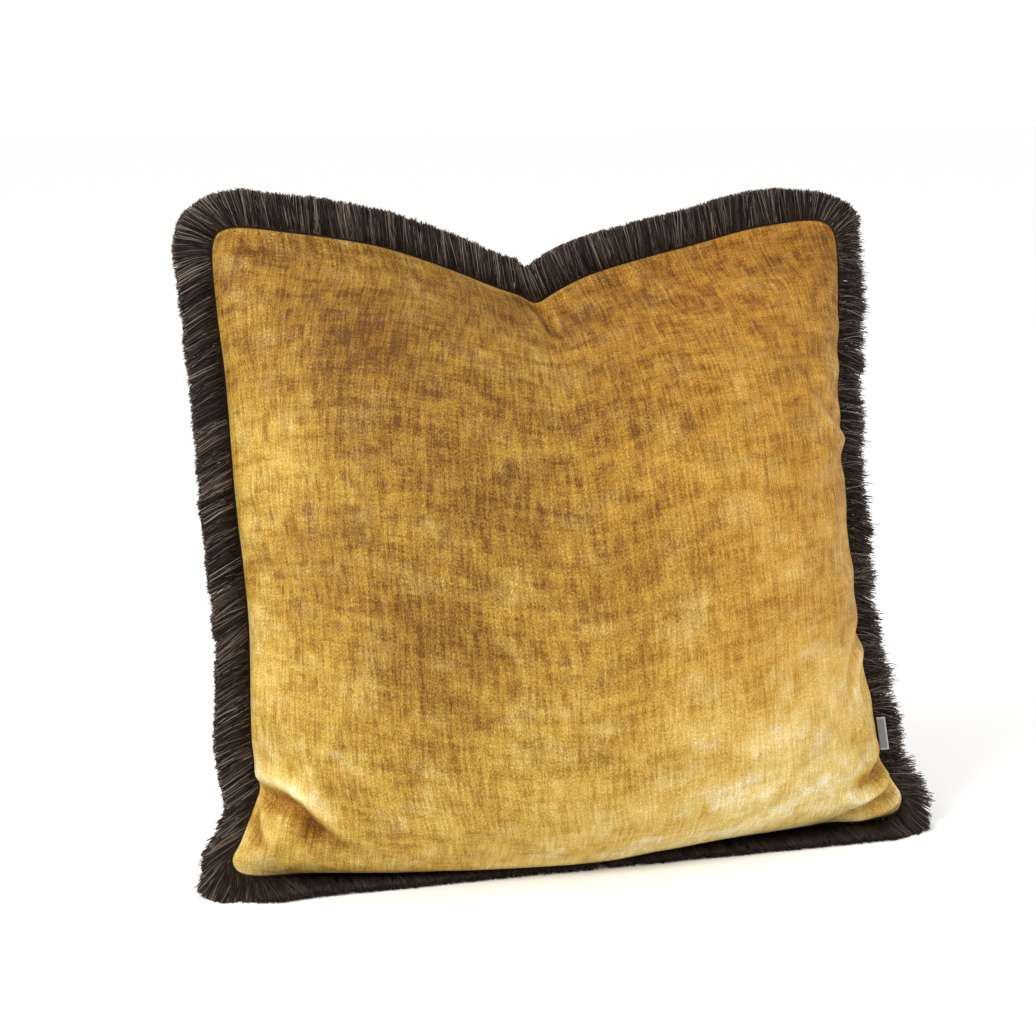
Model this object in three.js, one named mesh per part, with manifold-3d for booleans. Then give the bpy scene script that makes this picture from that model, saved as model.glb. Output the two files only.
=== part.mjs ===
// A square throw pillow: a velvet cover with a cut-yarn brush fringe sewn into its seam, a
// concealed zip along the bottom, and a filled inner pad. Millimetres, +Z up, +X to the
// pillow's right as seen from the front, front face towards -Y. It stands on its bottom edge,
// leaning back, with a dent pressed into the middle of its top edge.
import * as THREE from "three";
import { ParametricGeometry } from "three/addons/geometries/ParametricGeometry.js";
import { mergeGeometries, mergeVertices } from "three/addons/utils/BufferGeometryUtils.js";
import Module from "manifold-3d";

const wasm = await Module();
wasm.setup();

// ---- Driving dimensions --------------------------------------------------------------------
const LEAN = THREE.MathUtils.degToRad(13); // the seam plane leans back by this much
const BOTTOM_WIDTH = 510; // seam corner to seam corner along the bottom
const BOTTOM_SHIFT = 5; // the bottom edge sits this far to the right of the top one
const TOP_WIDTH = 472;
const HEIGHT = 450; // bottom seam to the top corners, measured up the leaning plane
const SEAM_Z = 9; // the bottom seam stands this high on the bent fringe
const CORNER_LIFT = { left: 2, right: 1.5 }; // the bottom corners rise off that line
const SAG_SHARE = 0.8; // the bottom edge drops by this share of the lift just inside a corner
const TOP_LEFT_LIFT = 4; // the top left corner stands higher than the right one
const CORNER_ROUND = 13; // how far along each edge the rounding of a corner starts
const CORNER_CUT = 0.3; // how far in the rounded corner lies, as a share of that
const MIDDLE_SHARE = 0.44; // the height of the point that the layers shrink about

// How far each edge is pulled in from the straight line between its corners: [share, depth].
const TOP_DENT = [
  [0.12, 3.8],
  [0.25, 14],
  [0.31, 22.6],
  [0.39, 37],
  [0.43, 45],
  [0.475, 52.5],
  [0.495, 57.5],
  [0.517, 52],
  [0.56, 42],
  [0.6, 35.2],
  [0.67, 26.4],
  [0.76, 16.5],
  [0.87, 4.2],
];
const LEFT_PULL = [
  [0.045, 4.6],
  [0.08, 12],
  [0.107, 17],
  [0.133, 21.4],
  [0.158, 19.2],
  [0.2, 16.6],
  [0.39, 17],
  [0.58, 10.4],
  [0.77, 5.8],
  [0.87, 1.5],
];
const RIGHT_PULL = [
  [0.05, 4],
  [0.075, 10.5],
  [0.105, 15],
  [0.14, 15],
  [0.19, 17],
  [0.29, 22],
  [0.4, 21.6],
  [0.54, 19.7],
  [0.69, 15.4],
  [0.8, 8.6],
  [0.87, 3.5],
];

// The middle section of each half, as [y, z] in the upright frame, from bottom seam to top seam.
const FRONT_SECTION = [
  [-1, 9],
  [-22, 7.5],
  [-45, 22],
  [-57, 61],
  [-56, 127],
  [-41, 215],
  [-6, 310],
  [42, 371],
  [88, 398],
];
const BACK_SECTION = [
  [1, 9],
  [24, -14],
  [72, -18],
  [96, 12],
  [108, 78],
  [126, 178],
  [133, 278],
  [121, 353],
  [90, 398],
];
const SIDE_FULLNESS = 0.5; // exponent of the crown from side to side: 0.5 is an ellipse

// Layers from outside in, as shares of the outer shape about its middle.
const COVER_OUTSIDE = 1;
const COVER_INSIDE = 0.99;
const THREAD_BAND = [0.983, 0.987];
const HEADING_BAND = [0.99, 1.004];
const FRINGE_ROOT = 1.0115;
const CARE_LABEL_BAND = [0.969, 0.975];
const CASE_OUTSIDE = 0.955;
const CASE_INSIDE = 0.946;
const PAD_SEAM_BAND = [0.948, 0.955];
const FILLING_OUTSIDE = 0.938;

const SEAM_HALF_GAP = 1; // each panel's edge stands off the seam plane by this much
const HEADING_HALF = 0.6;
const THREAD_HALF = 0.4;

const FRINGE_LENGTH = 25;
const FRINGE_ROOT_HALF = 2;
const FRINGE_TIP_HALF = 3;
const FRINGE_DROOP = { left: 28, right: 8 }; // degrees below level, in the seam plane
const FRINGE_SWEEP = 25; // degrees back from the seam plane, on the right side only
const FRINGE_CORNER = 26; // length of seam, each side of a corner, where the strands fan
const FRINGE_SPLIT = 1.2; // gap between two neighbouring lengths of fringe
const BAR_ROOT = { back: 2.6, z: 3.1, half: 3.1 }; // the bottom fringe, pressed on the floor
const BAR_TIP = { z: 2.8, half: 2.8 };

const ZIP_Y = 8.5; // middle of the zip, behind the bottom seam
const ZIP_LENGTH = 380; // between its stops
const ZIP_EDGE = { y: 14, z: 1 }; // the back panel's folded edge beside the zip
const ZIP_MOUTH = 0.06; // share of the bottom edge, at each end, where that edge turns back in
const ZIP_FADE = 0.16; // share of the panel's height over which it is drawn down to that edge
const TAPE = { half_gap: 0.7, width: 7, z: 6.4, thick: 0.6, length: 396 };
const COIL = { half_gap: 0.8, width: 2.2, z: 4.1, height: 2 };
const SLIDER = { length: 9, half_width: 4.2, bottom: 3, wing: 0.8, top: 8.2, neck: 0.3, flange: 0.7 };
const LUG = { width: 1.4, reach: 1.9, wall: 0.7, bottom: 0.5, bar: 0.6 };
const PULL = { length: 20, width: 5.2, thick: 0.8, z: 2, hole_far: 2.9, hole_half: 1.1 };
const PULL_RING = { wall: 1, shoulder: 4 }; // metal round the hole, and where the tab widens
const STOP_LENGTH = 2;
const CLEARANCE = 0.3;
const JOIN = 0.1; // how far two pieces of one metal part run into each other

const LABEL = { height: 24, start: 1.1, reach: 6.6, thick: 0.8, middle: 0.14 };
const LABEL_LIFT = { root: 2.6, end: 3.6 }; // in front of the seam plane, clear of the fringe
const CARE_LABEL = { u: [0.04, 0.1], v: [0.22, 0.32] };

const PANEL_STEPS = 26;
const EDGE_STEPS = 50; // along each edge of the heading, its stitching and the fringe
const WELD = 1e-4; // vertices closer than this are one
const EDGE_CROWDING = 0.6; // how strongly the mesh crowds towards the side seams, 0 to 1
const PAD_STEPS = 14;

// ---- The seam outline ----------------------------------------------------------------------
const planeUp = new THREE.Vector3(0, Math.sin(LEAN), Math.cos(LEAN));
const planeFront = new THREE.Vector3(0, -Math.cos(LEAN), Math.sin(LEAN));
const onPlane = (across, up) =>
  new THREE.Vector3(across, 0, SEAM_Z).addScaledVector(planeUp, up);
const middle = onPlane(0, MIDDLE_SHARE * HEIGHT);

// Control points of one edge between two corners, pulled in along inward by [share, depth].
function edgeControls(from, to, pulls, inward) {
  const start = CORNER_ROUND / from.distanceTo(to);
  const shares = [[start, 0], ...pulls, [1 - start, 0]];
  return shares.map(([share, depth]) =>
    from.clone().lerp(to, share).addScaledVector(inward, depth));
}

const corners = [
  new THREE.Vector3(BOTTOM_SHIFT - BOTTOM_WIDTH / 2, CORNER_LIFT.left, 0),
  new THREE.Vector3(BOTTOM_SHIFT + BOTTOM_WIDTH / 2, CORNER_LIFT.right, 0),
  new THREE.Vector3(TOP_WIDTH / 2, HEIGHT, 0),
  new THREE.Vector3(-TOP_WIDTH / 2, HEIGHT + TOP_LEFT_LIFT, 0),
];
// The bottom edge drops from its lifted corners onto the flattened fringe: [share, depth].
const BOTTOM_SAG = [
  [0.12, SAG_SHARE * CORNER_LIFT.left],
  [0.5, 0.5 * (CORNER_LIFT.left + CORNER_LIFT.right)],
  [0.88, SAG_SHARE * CORNER_LIFT.right],
];
const backwards = (pulls) => pulls.map(([share, depth]) => [1 - share, depth]).reverse();
const edges = [
  { pulls: BOTTOM_SAG, inward: new THREE.Vector3(0, -1, 0) },
  { pulls: RIGHT_PULL, inward: new THREE.Vector3(-1, 0, 0) },
  { pulls: backwards(TOP_DENT), inward: new THREE.Vector3(0, -1, 0) },
  { pulls: backwards(LEFT_PULL), inward: new THREE.Vector3(1, 0, 0) },
];

// A rounded corner's own point lies inside the sharp one.
function roundedCorner(i) {
  const [before, at, after] = [corners[(i + 3) % 4], corners[i], corners[(i + 1) % 4]];
  const cut = CORNER_CUT * CORNER_ROUND;
  const inwards = [before, after].map((p) => p.clone().sub(at).setLength(cut));
  return at.clone().add(inwards[0]).add(inwards[1]);
}
const controls = [];
const cornerIndex = [];
edges.forEach(({ pulls, inward }, i) => {
  cornerIndex.push(controls.length);
  controls.push(roundedCorner(i));
  controls.push(...edgeControls(corners[i], corners[(i + 1) % 4], pulls, inward));
});
const outline = new THREE.CatmullRomCurve3(controls, true, "centripetal");

// Each edge as evenly spaced points, so that a share of its length finds its place. The waist is
// the share that counts as the edge's middle: on the top edge, the bottom of its dent.
const EDGE_SAMPLES = 240;
const TOP_EDGE = 2;
const edgePaths = edges.map((_, i) => {
  const from = cornerIndex[i] / controls.length;
  const to = (i < 3 ? cornerIndex[i + 1] : controls.length) / controls.length;
  const fine = [];
  for (let k = 0; k <= EDGE_SAMPLES; k++)
    fine.push(outline.getPoint((from + ((to - from) * k) / EDGE_SAMPLES) % 1));
  const reached = [0];
  for (let k = 1; k <= EDGE_SAMPLES; k++)
    reached.push(reached[k - 1] + fine[k].distanceTo(fine[k - 1]));
  const length = reached[EDGE_SAMPLES];
  const lowest = fine.reduce((low, point, k) => (point.y < fine[low].y ? k : low), 0);
  const waist = i === TOP_EDGE ? reached[lowest] / length : 0.5;
  return { fine, reached, length, waist };
});

// The point a share of the way along an edge: 0 bottom, 1 right, 2 top, 3 left, all running
// anticlockwise as seen from the front. x is across and y is up the seam plane.
function edgePoint(edge, share) {
  const { fine, reached, length, waist } = edgePaths[edge];
  const target = length * (share < 0.5 ? 2 * share * waist : waist + (2 * share - 1) * (1 - waist));
  let k = 1;
  while (k < EDGE_SAMPLES && reached[k] < target) k++;
  const step = (target - reached[k - 1]) / (reached[k] - reached[k - 1]);
  return fine[k - 1].clone().lerp(fine[k], step);
}

// ---- The surface of one half of the pillow -------------------------------------------------
const smooth = (x) => THREE.MathUtils.smoothstep(x, 0, 1);
const sectionCurve = (points) =>
  new THREE.CatmullRomCurve3(points.map(([y, z]) => new THREE.Vector3(0, y, z)), false, "centripetal");
const sections = { front: sectionCurve(FRONT_SECTION), back: sectionCurve(BACK_SECTION) };

// A Coons patch between the four edges, still flat in the seam plane.
function flatPoint(u, v) {
  const [bottom, right] = [edgePoint(0, u), edgePoint(1, v)];
  const [top, left] = [edgePoint(2, 1 - u), edgePoint(3, 1 - v)];
  const [p00, p10] = [edgePoint(0, 0), edgePoint(0, 1)];
  const [p11, p01] = [edgePoint(2, 0), edgePoint(2, 1)];
  const ruled = bottom.multiplyScalar(1 - v).addScaledVector(top, v)
    .addScaledVector(left, 1 - u).addScaledVector(right, u);
  return ruled.addScaledVector(p00, -(1 - u) * (1 - v)).addScaledVector(p10, -u * (1 - v))
    .addScaledVector(p11, -u * v).addScaledVector(p01, -(1 - u) * v);
}

// How far a point of the back panel's bottom has been drawn to the zip's folded edge: 1 beside
// the zip, fading to 0 at the corners and up the panel.
function zipPull(u, v) {
  const along = smooth(u / ZIP_MOUTH) * smooth((1 - u) / ZIP_MOUTH);
  return along * (1 - smooth(v / ZIP_FADE));
}

// How far the middle section of a half stands off the seam plane at height v, with both of its
// ends brought onto the seam.
function crownAt(half, v) {
  const side = half === "front" ? 1 : -1;
  const offSeam = (at) =>
    sections[half].getPointAt(at).sub(onPlane(0, flatPoint(0.5, at).y))
      .addScaledVector(planeFront, -side * SEAM_HALF_GAP);
  return offSeam(v).addScaledVector(offSeam(0), v - 1).addScaledVector(offSeam(1), -v);
}

// The outer shape at (u, v), for half "front" or "back"; layer shrinks it about its middle.
function skin(half, u, v, layer, zipped = false) {
  const flat = flatPoint(u, v);
  const side = half === "front" ? 1 : -1;
  const point = onPlane(flat.x, flat.y).addScaledVector(planeFront, side * SEAM_HALF_GAP);
  point.addScaledVector(crownAt(half, v), Math.pow(4 * u * (1 - u), SIDE_FULLNESS));
  if (zipped) {
    const pull = zipPull(u, v);
    point.y += pull * Math.max(0, ZIP_EDGE.y - point.y);
    point.z += pull * (ZIP_EDGE.z - point.z);
  }
  point.z = Math.max(point.z, 0);
  return middle.clone().lerp(point, layer);
}

// ---- Building closed meshes ----------------------------------------------------------------
// Evenly spaced shares moved closer together near 0 and 1, where the pillow curves most.
const crowded = (u) => u + EDGE_CROWDING * (0.5 - 0.5 * Math.cos(Math.PI * u) - u);

// A sheet of quads over the (u, v) square.
const sheetOf = (at, across, up) =>
  new ParametricGeometry((u, v, target) => target.copy(at(u, v)), across, up);

// The same sheet seen from its other side.
function reversed(geometry) {
  const order = geometry.index.array;
  for (let i = 0; i < order.length; i += 3)
    [order[i + 1], order[i + 2]] = [order[i + 2], order[i + 1]];
  return geometry;
}

// Positions only, with the vertices that several faces share made one.
function welded(geometries) {
  const bare = geometries.map((geometry) => {
    const copy = geometry.clone();
    copy.deleteAttribute("uv");
    copy.deleteAttribute("normal");
    return copy;
  });
  return mergeVertices(mergeGeometries(bare), WELD);
}

function namedMesh(name, geometry, material) {
  geometry.computeVertexNormals();
  const mesh = new THREE.Mesh(geometry, material);
  mesh.name = name;
  return mesh;
}
const closedMesh = (name, geometries, material) => namedMesh(name, welded(geometries), material);

// The border of a (u, v) square as one closed walk: t runs 0 to 4 over its four sides.
function borderAt(t) {
  const side = Math.min(3, Math.floor(t));
  const s = t - side;
  return [[s, 0], [1, s], [1 - s, 1], [0, 1 - s]][side];
}

// A shell between two sheets that share their (u, v) square, closed by a rim round its border.
function shell(name, outside, inside, steps, material, outward) {
  const rim = (u, v) => {
    const [a, b] = borderAt(4 * u);
    return outside(a, b).lerp(inside(a, b), v);
  };
  const faces = [
    sheetOf(outside, steps, steps),
    reversed(sheetOf(inside, steps, steps)),
    reversed(sheetOf(rim, 4 * steps, 1)),
  ];
  return closedMesh(name, outward ? faces : faces.map(reversed), material);
}

// A bar whose section is four corners: corner(share, k) for k = 0..3, closed or capped.
function bar(name, corner, steps, material, closed) {
  const wall = (u, v) => {
    const at = 4 * v;
    const k = Math.min(3, Math.floor(at));
    return corner(u, k).lerp(corner(u, (k + 1) % 4), at - k);
  };
  const cap = (share) => (u, v) =>
    corner(share, 0).lerp(corner(share, 1), u).lerp(corner(share, 3).lerp(corner(share, 2), u), v);
  const faces = [reversed(sheetOf(wall, steps, 4))];
  if (!closed) faces.push(reversed(sheetOf(cap(0), 1, 1)), sheetOf(cap(1), 1, 1));
  return closedMesh(name, faces, material);
}

// The pieces that make up one small metal part, joined into a single solid.
function solidOf(geometry) {
  const { attributes, index } = welded([geometry]);
  return new wasm.Manifold(new wasm.Mesh({
    numProp: 3,
    vertProperties: new Float32Array(attributes.position.array),
    triVerts: new Uint32Array(index.array),
  }));
}
function joined(name, geometries, material) {
  const solid = geometries.map(solidOf).reduce((a, b) => a.add(b));
  const { vertProperties, triVerts } = solid.getMesh();
  const geometry = new THREE.BufferGeometry();
  geometry.setAttribute("position", new THREE.BufferAttribute(vertProperties, 3));
  geometry.setIndex(new THREE.BufferAttribute(triVerts, 1));
  return namedMesh(name, geometry, material);
}

function boxBetween(low, high) {
  const size = high.map((h, i) => h - low[i]);
  const geometry = new THREE.BoxGeometry(...size);
  return geometry.translate(...low.map((l, i) => l + size[i] / 2));
}

// ---- Materials -----------------------------------------------------------------------------
const cloth = (color, roughness) =>
  new THREE.MeshStandardMaterial({ color, roughness, metalness: 0 });
const velvet = () => cloth(0xb8862b, 0.55);
const fringeYarn = () => cloth(0x2d2321, 0.8);
const cotton = () => cloth(0xe9e5dc, 0.9);
const tapeCloth = () => cloth(0x8a6420, 0.85);
const zipNylon = () => cloth(0x7d5a1d, 0.45);
const zipMetal = () =>
  new THREE.MeshStandardMaterial({ color: 0x8c7440, roughness: 0.35, metalness: 1 });

// ---- Cover ---------------------------------------------------------------------------------
function coverPanel(name, half) {
  const zipped = half === "back";
  const outside = (u, v) => skin(half, crowded(u), v, COVER_OUTSIDE, zipped);
  const inside = (u, v) => skin(half, crowded(u), v, COVER_INSIDE, zipped);
  return shell(name, outside, inside, PANEL_STEPS, velvet(), half === "front");
}

// A flat ring in the seam plane, between two shares of the outline.
function seamRing(name, [inner, outer], half, steps, material) {
  const corner = (share, k) => {
    const t = 4 * (share % 1);
    const edge = Math.floor(t);
    const flat = edgePoint(edge, crowded(t - edge));
    const layer = k === 0 || k === 3 ? inner : outer;
    const front = k < 2 ? half : -half;
    const point = middle.clone().lerp(onPlane(flat.x, flat.y), layer);
    return point.addScaledVector(planeFront, front);
  };
  return bar(name, corner, steps, material, true);
}

// ---- Brush fringe --------------------------------------------------------------------------
// Each edge's strands point this way, in degrees from +X in the seam plane, and turn towards the
// neighbouring edges' strands at its two corners: bottom, right, top, left.
const LEFT_ANGLE = 180 + FRINGE_DROOP.left;
const STRANDS = [
  { own: 270, atStart: LEFT_ANGLE, atEnd: 360 - FRINGE_DROOP.right, sweep: 0 },
  { own: -FRINGE_DROOP.right, atStart: -90, atEnd: 90, sweep: FRINGE_SWEEP },
  { own: 90, atStart: -FRINGE_DROOP.right, atEnd: LEFT_ANGLE, sweep: 0 },
  { own: LEFT_ANGLE, atStart: 90, atEnd: 270, sweep: 0 },
];
function strandDirection(degrees, sweep) {
  const [angle, back] = [degrees, sweep].map(THREE.MathUtils.degToRad);
  return new THREE.Vector3(Math.cos(angle), 0, 0).addScaledVector(planeUp, Math.sin(angle))
    .multiplyScalar(Math.cos(back)).addScaledVector(planeFront, -Math.sin(back));
}

// How far the strands have turned towards the next edge: half at the corner itself.
function cornerTurn(edge, share) {
  const length = edgePaths[edge].length;
  const fromStart = share * length;
  const fromEnd = (1 - share) * length;
  const before = 0.5 * (1 - smooth(fromStart / FRINGE_CORNER));
  const after = 0.5 * (1 - smooth(fromEnd / FRINGE_CORNER));
  return { before, after };
}

// The four corners of the fringe's section: root front, tip front, tip back, root back. Towards
// the bottom edge the strip is turned forward and pressed flat on the floor.
function fringeCorner(edge, share, k) {
  const flat = edgePoint(edge, share);
  const { before, after } = cornerTurn(edge, share);
  const { own, atStart, atEnd, sweep } = STRANDS[edge];
  const degrees = own + before * (atStart - own) + after * (atEnd - own);
  const pressed = smooth([1 - before - after, 2 * before - 0.5, 0, 2 * after - 0.5][edge]);
  const middling = 1 - 2 * (before + after); // 1 along the side, 0 at its corners
  const direction = strandDirection(degrees, sweep * middling)
    .lerp(new THREE.Vector3(0, -1, 0), pressed).normalize();
  const up = planeFront.clone().lerp(new THREE.Vector3(0, 0, 1), pressed);
  const isTip = k === 1 || k === 2;
  const loose = isTip ? FRINGE_TIP_HALF : FRINGE_ROOT_HALF;
  const flattened = isTip ? BAR_TIP : BAR_ROOT;
  const half = loose + pressed * (flattened.half - loose);
  const point = middle.clone().lerp(onPlane(flat.x, flat.y), FRINGE_ROOT);
  point.y -= pressed * BAR_ROOT.back;
  point.z += pressed * (BAR_ROOT.z - point.z);
  if (isTip) point.addScaledVector(direction, FRINGE_LENGTH);
  if (isTip) point.z += pressed * (BAR_TIP.z - BAR_ROOT.z);
  point.addScaledVector(up, k < 2 ? half : -half);
  point.z = Math.max(point.z, 0);
  return point;
}

function fringe(name, edge) {
  const trim = (0.5 * FRINGE_SPLIT) / edgePaths[edge].length;
  const corner = (share, k) => fringeCorner(edge, trim + crowded(share) * (1 - 2 * trim), k);
  return bar(name, corner, EDGE_STEPS, fringeYarn(), false);
}

// ---- Labels --------------------------------------------------------------------------------
// A folded woven label whose ends are caught in the right seam; it lies on the fringe.
function sideLabel() {
  const corner = (share, k) => {
    const flat = edgePoint(1, LABEL.middle + ((share - 0.5) * LABEL.height) / edgePaths[1].length);
    const isEnd = k === 1 || k === 2;
    const across = flat.x + LABEL.start + (isEnd ? LABEL.reach : 0);
    const lift = (isEnd ? LABEL_LIFT.end : LABEL_LIFT.root) + (k < 2 ? LABEL.thick : 0);
    return onPlane(across, flat.y).addScaledVector(planeFront, lift);
  };
  return bar("side_label", corner, 3, cloth(0x86867f, 0.8), false);
}

function careLabel() {
  const place = ([from, to], share) => from + share * (to - from);
  const at = (layer) => (u, v) =>
    skin("back", place(CARE_LABEL.u, u), place(CARE_LABEL.v, v), layer);
  const [inner, outer] = CARE_LABEL_BAND;
  return shell("care_label", at(outer), at(inner), 4, cloth(0xefeeea, 0.6), false);
}

// ---- Zip -----------------------------------------------------------------------------------
const sides = { front: -1, back: 1 };

function zipTape(name, side) {
  const inner = ZIP_Y + side * TAPE.half_gap;
  const outer = inner + side * TAPE.width;
  const [low, high] = [Math.min(inner, outer), Math.max(inner, outer)];
  const box = boxBetween(
    [-TAPE.length / 2, low, TAPE.z],
    [TAPE.length / 2, high, TAPE.z + TAPE.thick]);
  return closedMesh(name, [box], tapeCloth());
}

// One half of the coil: a rounded bar sewn under the edge of its tape.
function zipCoil(name, side) {
  const radius = COIL.height / 2;
  const section = new THREE.Shape().absellipse(0, 0, COIL.width / 2, radius, 0, 2 * Math.PI);
  const geometry = new THREE.ExtrudeGeometry(section, {
    depth: ZIP_LENGTH,
    bevelEnabled: false,
    curveSegments: 8,
  });
  geometry.rotateY(Math.PI / 2);
  geometry.rotateX(Math.PI / 2);
  const y = ZIP_Y + side * (COIL.half_gap + COIL.width / 2);
  geometry.translate(-ZIP_LENGTH / 2, y, COIL.z + radius);
  return closedMesh(name, [geometry], zipNylon());
}

const coilReach = COIL.half_gap + COIL.width;
function zipStop(name, x, [lowY, highY]) {
  const box = boxBetween(
    [x, lowY, COIL.z - CLEARANCE],
    [x + STOP_LENGTH, highY, TAPE.z - CLEARANCE]);
  return closedMesh(name, [box], zipMetal());
}

const sliderX = ZIP_LENGTH / 2 - SLIDER.length / 2 - CLEARANCE;

// The slider: two wings joined by a neck between the tapes, flanges beside the coil, and a lug.
function zipSlider() {
  const [x0, x1] = [sliderX - SLIDER.length / 2, sliderX + SLIDER.length / 2];
  const [y0, y1] = [ZIP_Y - SLIDER.half_width, ZIP_Y + SLIDER.half_width];
  const wingTop = SLIDER.bottom + SLIDER.wing;
  const flangeTop = TAPE.z - 2 * CLEARANCE;
  const { flange } = SLIDER;
  const lugY = [ZIP_Y - LUG.width / 2, ZIP_Y + LUG.width / 2];
  const parts = [
    boxBetween([x0, y0, SLIDER.bottom], [x1, y1, wingTop]),
    boxBetween([x0, y0, SLIDER.top - SLIDER.wing], [x1, y1, SLIDER.top]),
    boxBetween([x0, y0, SLIDER.bottom], [x1, y0 + flange, flangeTop]),
    boxBetween([x0, y1 - flange, SLIDER.bottom], [x1, y1, flangeTop]),
    boxBetween(
      [x0, ZIP_Y - SLIDER.neck, wingTop - JOIN],
      [x1, ZIP_Y + SLIDER.neck, SLIDER.top - JOIN]),
    boxBetween(
      [sliderX - LUG.reach, lugY[0], LUG.bottom],
      [sliderX + LUG.reach, lugY[1], LUG.bottom + LUG.bar]),
  ];
  for (const side of [-1, 1]) {
    const from = side < 0 ? sliderX - LUG.reach : sliderX + LUG.reach - LUG.wall;
    parts.push(boxBetween(
      [from, lugY[0], LUG.bottom],
      [from + LUG.wall, lugY[1], SLIDER.bottom + JOIN]));
  }
  return joined("zip_slider", parts, zipMetal());
}

// The pull: a flat tab whose ring end passes through the slider's lug.
function zipPullTab() {
  const half = PULL.width / 2;
  const ringHalf = PULL.hole_half + PULL_RING.wall;
  const pin = PULL.thick / 2;
  const ringEnd = -PULL.hole_far - PULL_RING.wall;
  const shoulder = -PULL.hole_far - PULL_RING.shoulder;
  const outline = new THREE.Shape();
  outline.moveTo(pin, -ringHalf);
  outline.lineTo(pin, ringHalf);
  outline.lineTo(ringEnd, ringHalf);
  outline.lineTo(shoulder, half);
  outline.lineTo(-PULL.length + half, half);
  outline.absarc(-PULL.length + half, 0, half, Math.PI / 2, 1.5 * Math.PI, false);
  outline.lineTo(shoulder, -half);
  outline.lineTo(ringEnd, -ringHalf);
  outline.closePath();
  const hole = new THREE.Path();
  hole.moveTo(-pin, -PULL.hole_half);
  hole.lineTo(-PULL.hole_far, -PULL.hole_half);
  hole.lineTo(-PULL.hole_far, PULL.hole_half);
  hole.lineTo(-pin, PULL.hole_half);
  hole.closePath();
  outline.holes.push(hole);
  const geometry = new THREE.ExtrudeGeometry(outline, {
    depth: PULL.thick,
    bevelEnabled: false,
    curveSegments: 10,
  });
  geometry.translate(sliderX, ZIP_Y, PULL.z - PULL.thick / 2);
  return closedMesh("zip_pull", [geometry], zipMetal());
}

// ---- Inner pad -----------------------------------------------------------------------------
function padCase(name, half) {
  const outside = (u, v) => skin(half, crowded(u), v, CASE_OUTSIDE);
  const inside = (u, v) => skin(half, crowded(u), v, CASE_INSIDE);
  return shell(name, outside, inside, PAD_STEPS, cotton(), half === "front");
}

function padFilling() {
  const front = (u, v) => skin("front", crowded(u), v, FILLING_OUTSIDE);
  const back = (u, v) => skin("back", crowded(u), v, FILLING_OUTSIDE);
  return shell("pad_filling", front, back, PAD_STEPS, cloth(0xf4f2ee, 1), true);
}

// ---- The whole pillow ----------------------------------------------------------------------
const pillow = new THREE.Group();
pillow.add(
  coverPanel("front_panel", "front"),
  coverPanel("back_panel", "back"),
  seamRing("fringe_heading", HEADING_BAND, HEADING_HALF, 4 * EDGE_STEPS, fringeYarn()),
  seamRing("cover_seam_thread", THREAD_BAND, THREAD_HALF, 4 * EDGE_STEPS, cloth(0xa97a2a, 0.7)),
  fringe("fringe_bottom", 0),
  fringe("fringe_right", 1),
  fringe("fringe_top", 2),
  fringe("fringe_left", 3),
  sideLabel(),
  careLabel(),
);

for (const [name, side] of Object.entries(sides)) {
  const across = [ZIP_Y + side * TAPE.half_gap, ZIP_Y + side * coilReach].sort((a, b) => a - b);
  pillow.add(
    zipTape("zip_tape_" + name, side),
    zipCoil("zip_coil_" + name, side),
    zipStop("zip_top_stop_" + name, ZIP_LENGTH / 2 + CLEARANCE, across),
  );
}
const openEnd = -ZIP_LENGTH / 2 - CLEARANCE - STOP_LENGTH;
pillow.add(
  zipStop("zip_bottom_stop", openEnd, [ZIP_Y - coilReach, ZIP_Y + coilReach]),
  zipSlider(),
  zipPullTab(),
  padCase("pad_case_front", "front"),
  padCase("pad_case_back", "back"),
  seamRing("pad_seam", PAD_SEAM_BAND, HEADING_HALF, 4 * PAD_STEPS, cotton()),
  padFilling(),
);

// The origin is the middle of the footprint of the whole, on the floor.
const extent = new THREE.Box3().setFromObject(pillow);
const footprint = extent.getCenter(new THREE.Vector3());
pillow.position.set(-footprint.x, -footprint.y, -extent.min.z);

export default pillow;
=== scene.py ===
import math

import bpy
import numpy as np
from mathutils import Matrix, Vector
from mathutils.bvhtree import BVHTree


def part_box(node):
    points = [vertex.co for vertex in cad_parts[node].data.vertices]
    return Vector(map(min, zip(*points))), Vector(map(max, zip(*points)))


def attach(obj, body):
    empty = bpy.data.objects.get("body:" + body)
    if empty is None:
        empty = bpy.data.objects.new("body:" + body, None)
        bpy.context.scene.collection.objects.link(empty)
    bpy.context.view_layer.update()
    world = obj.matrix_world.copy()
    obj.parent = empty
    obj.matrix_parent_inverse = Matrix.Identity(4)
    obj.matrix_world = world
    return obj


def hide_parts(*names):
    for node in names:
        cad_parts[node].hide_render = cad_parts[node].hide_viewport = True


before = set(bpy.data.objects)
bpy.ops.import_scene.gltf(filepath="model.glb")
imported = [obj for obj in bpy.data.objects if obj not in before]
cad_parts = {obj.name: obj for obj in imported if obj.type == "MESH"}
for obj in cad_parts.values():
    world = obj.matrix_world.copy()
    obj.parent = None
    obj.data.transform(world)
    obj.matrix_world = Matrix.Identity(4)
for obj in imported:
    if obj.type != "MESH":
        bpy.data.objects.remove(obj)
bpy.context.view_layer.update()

MM = 0.001
SEED = 514
COVER_FLAT = 510 * MM  # each panel was cut to a square of this size, less its seams
FAR = 0.6  # rays start this far from the middle, outside everything

# ---- Meshes from arrays ----


def node_points(name):
    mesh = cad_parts[name].data
    points = np.empty(3 * len(mesh.vertices), np.float32)
    mesh.vertices.foreach_get("co", points)
    return points.reshape(-1, 3).astype(float)


def node_tree(name):
    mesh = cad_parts[name].data
    corners = [vertex.co for vertex in mesh.vertices]
    return BVHTree.FromPolygons(corners, [face.vertices for face in mesh.polygons])


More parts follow.
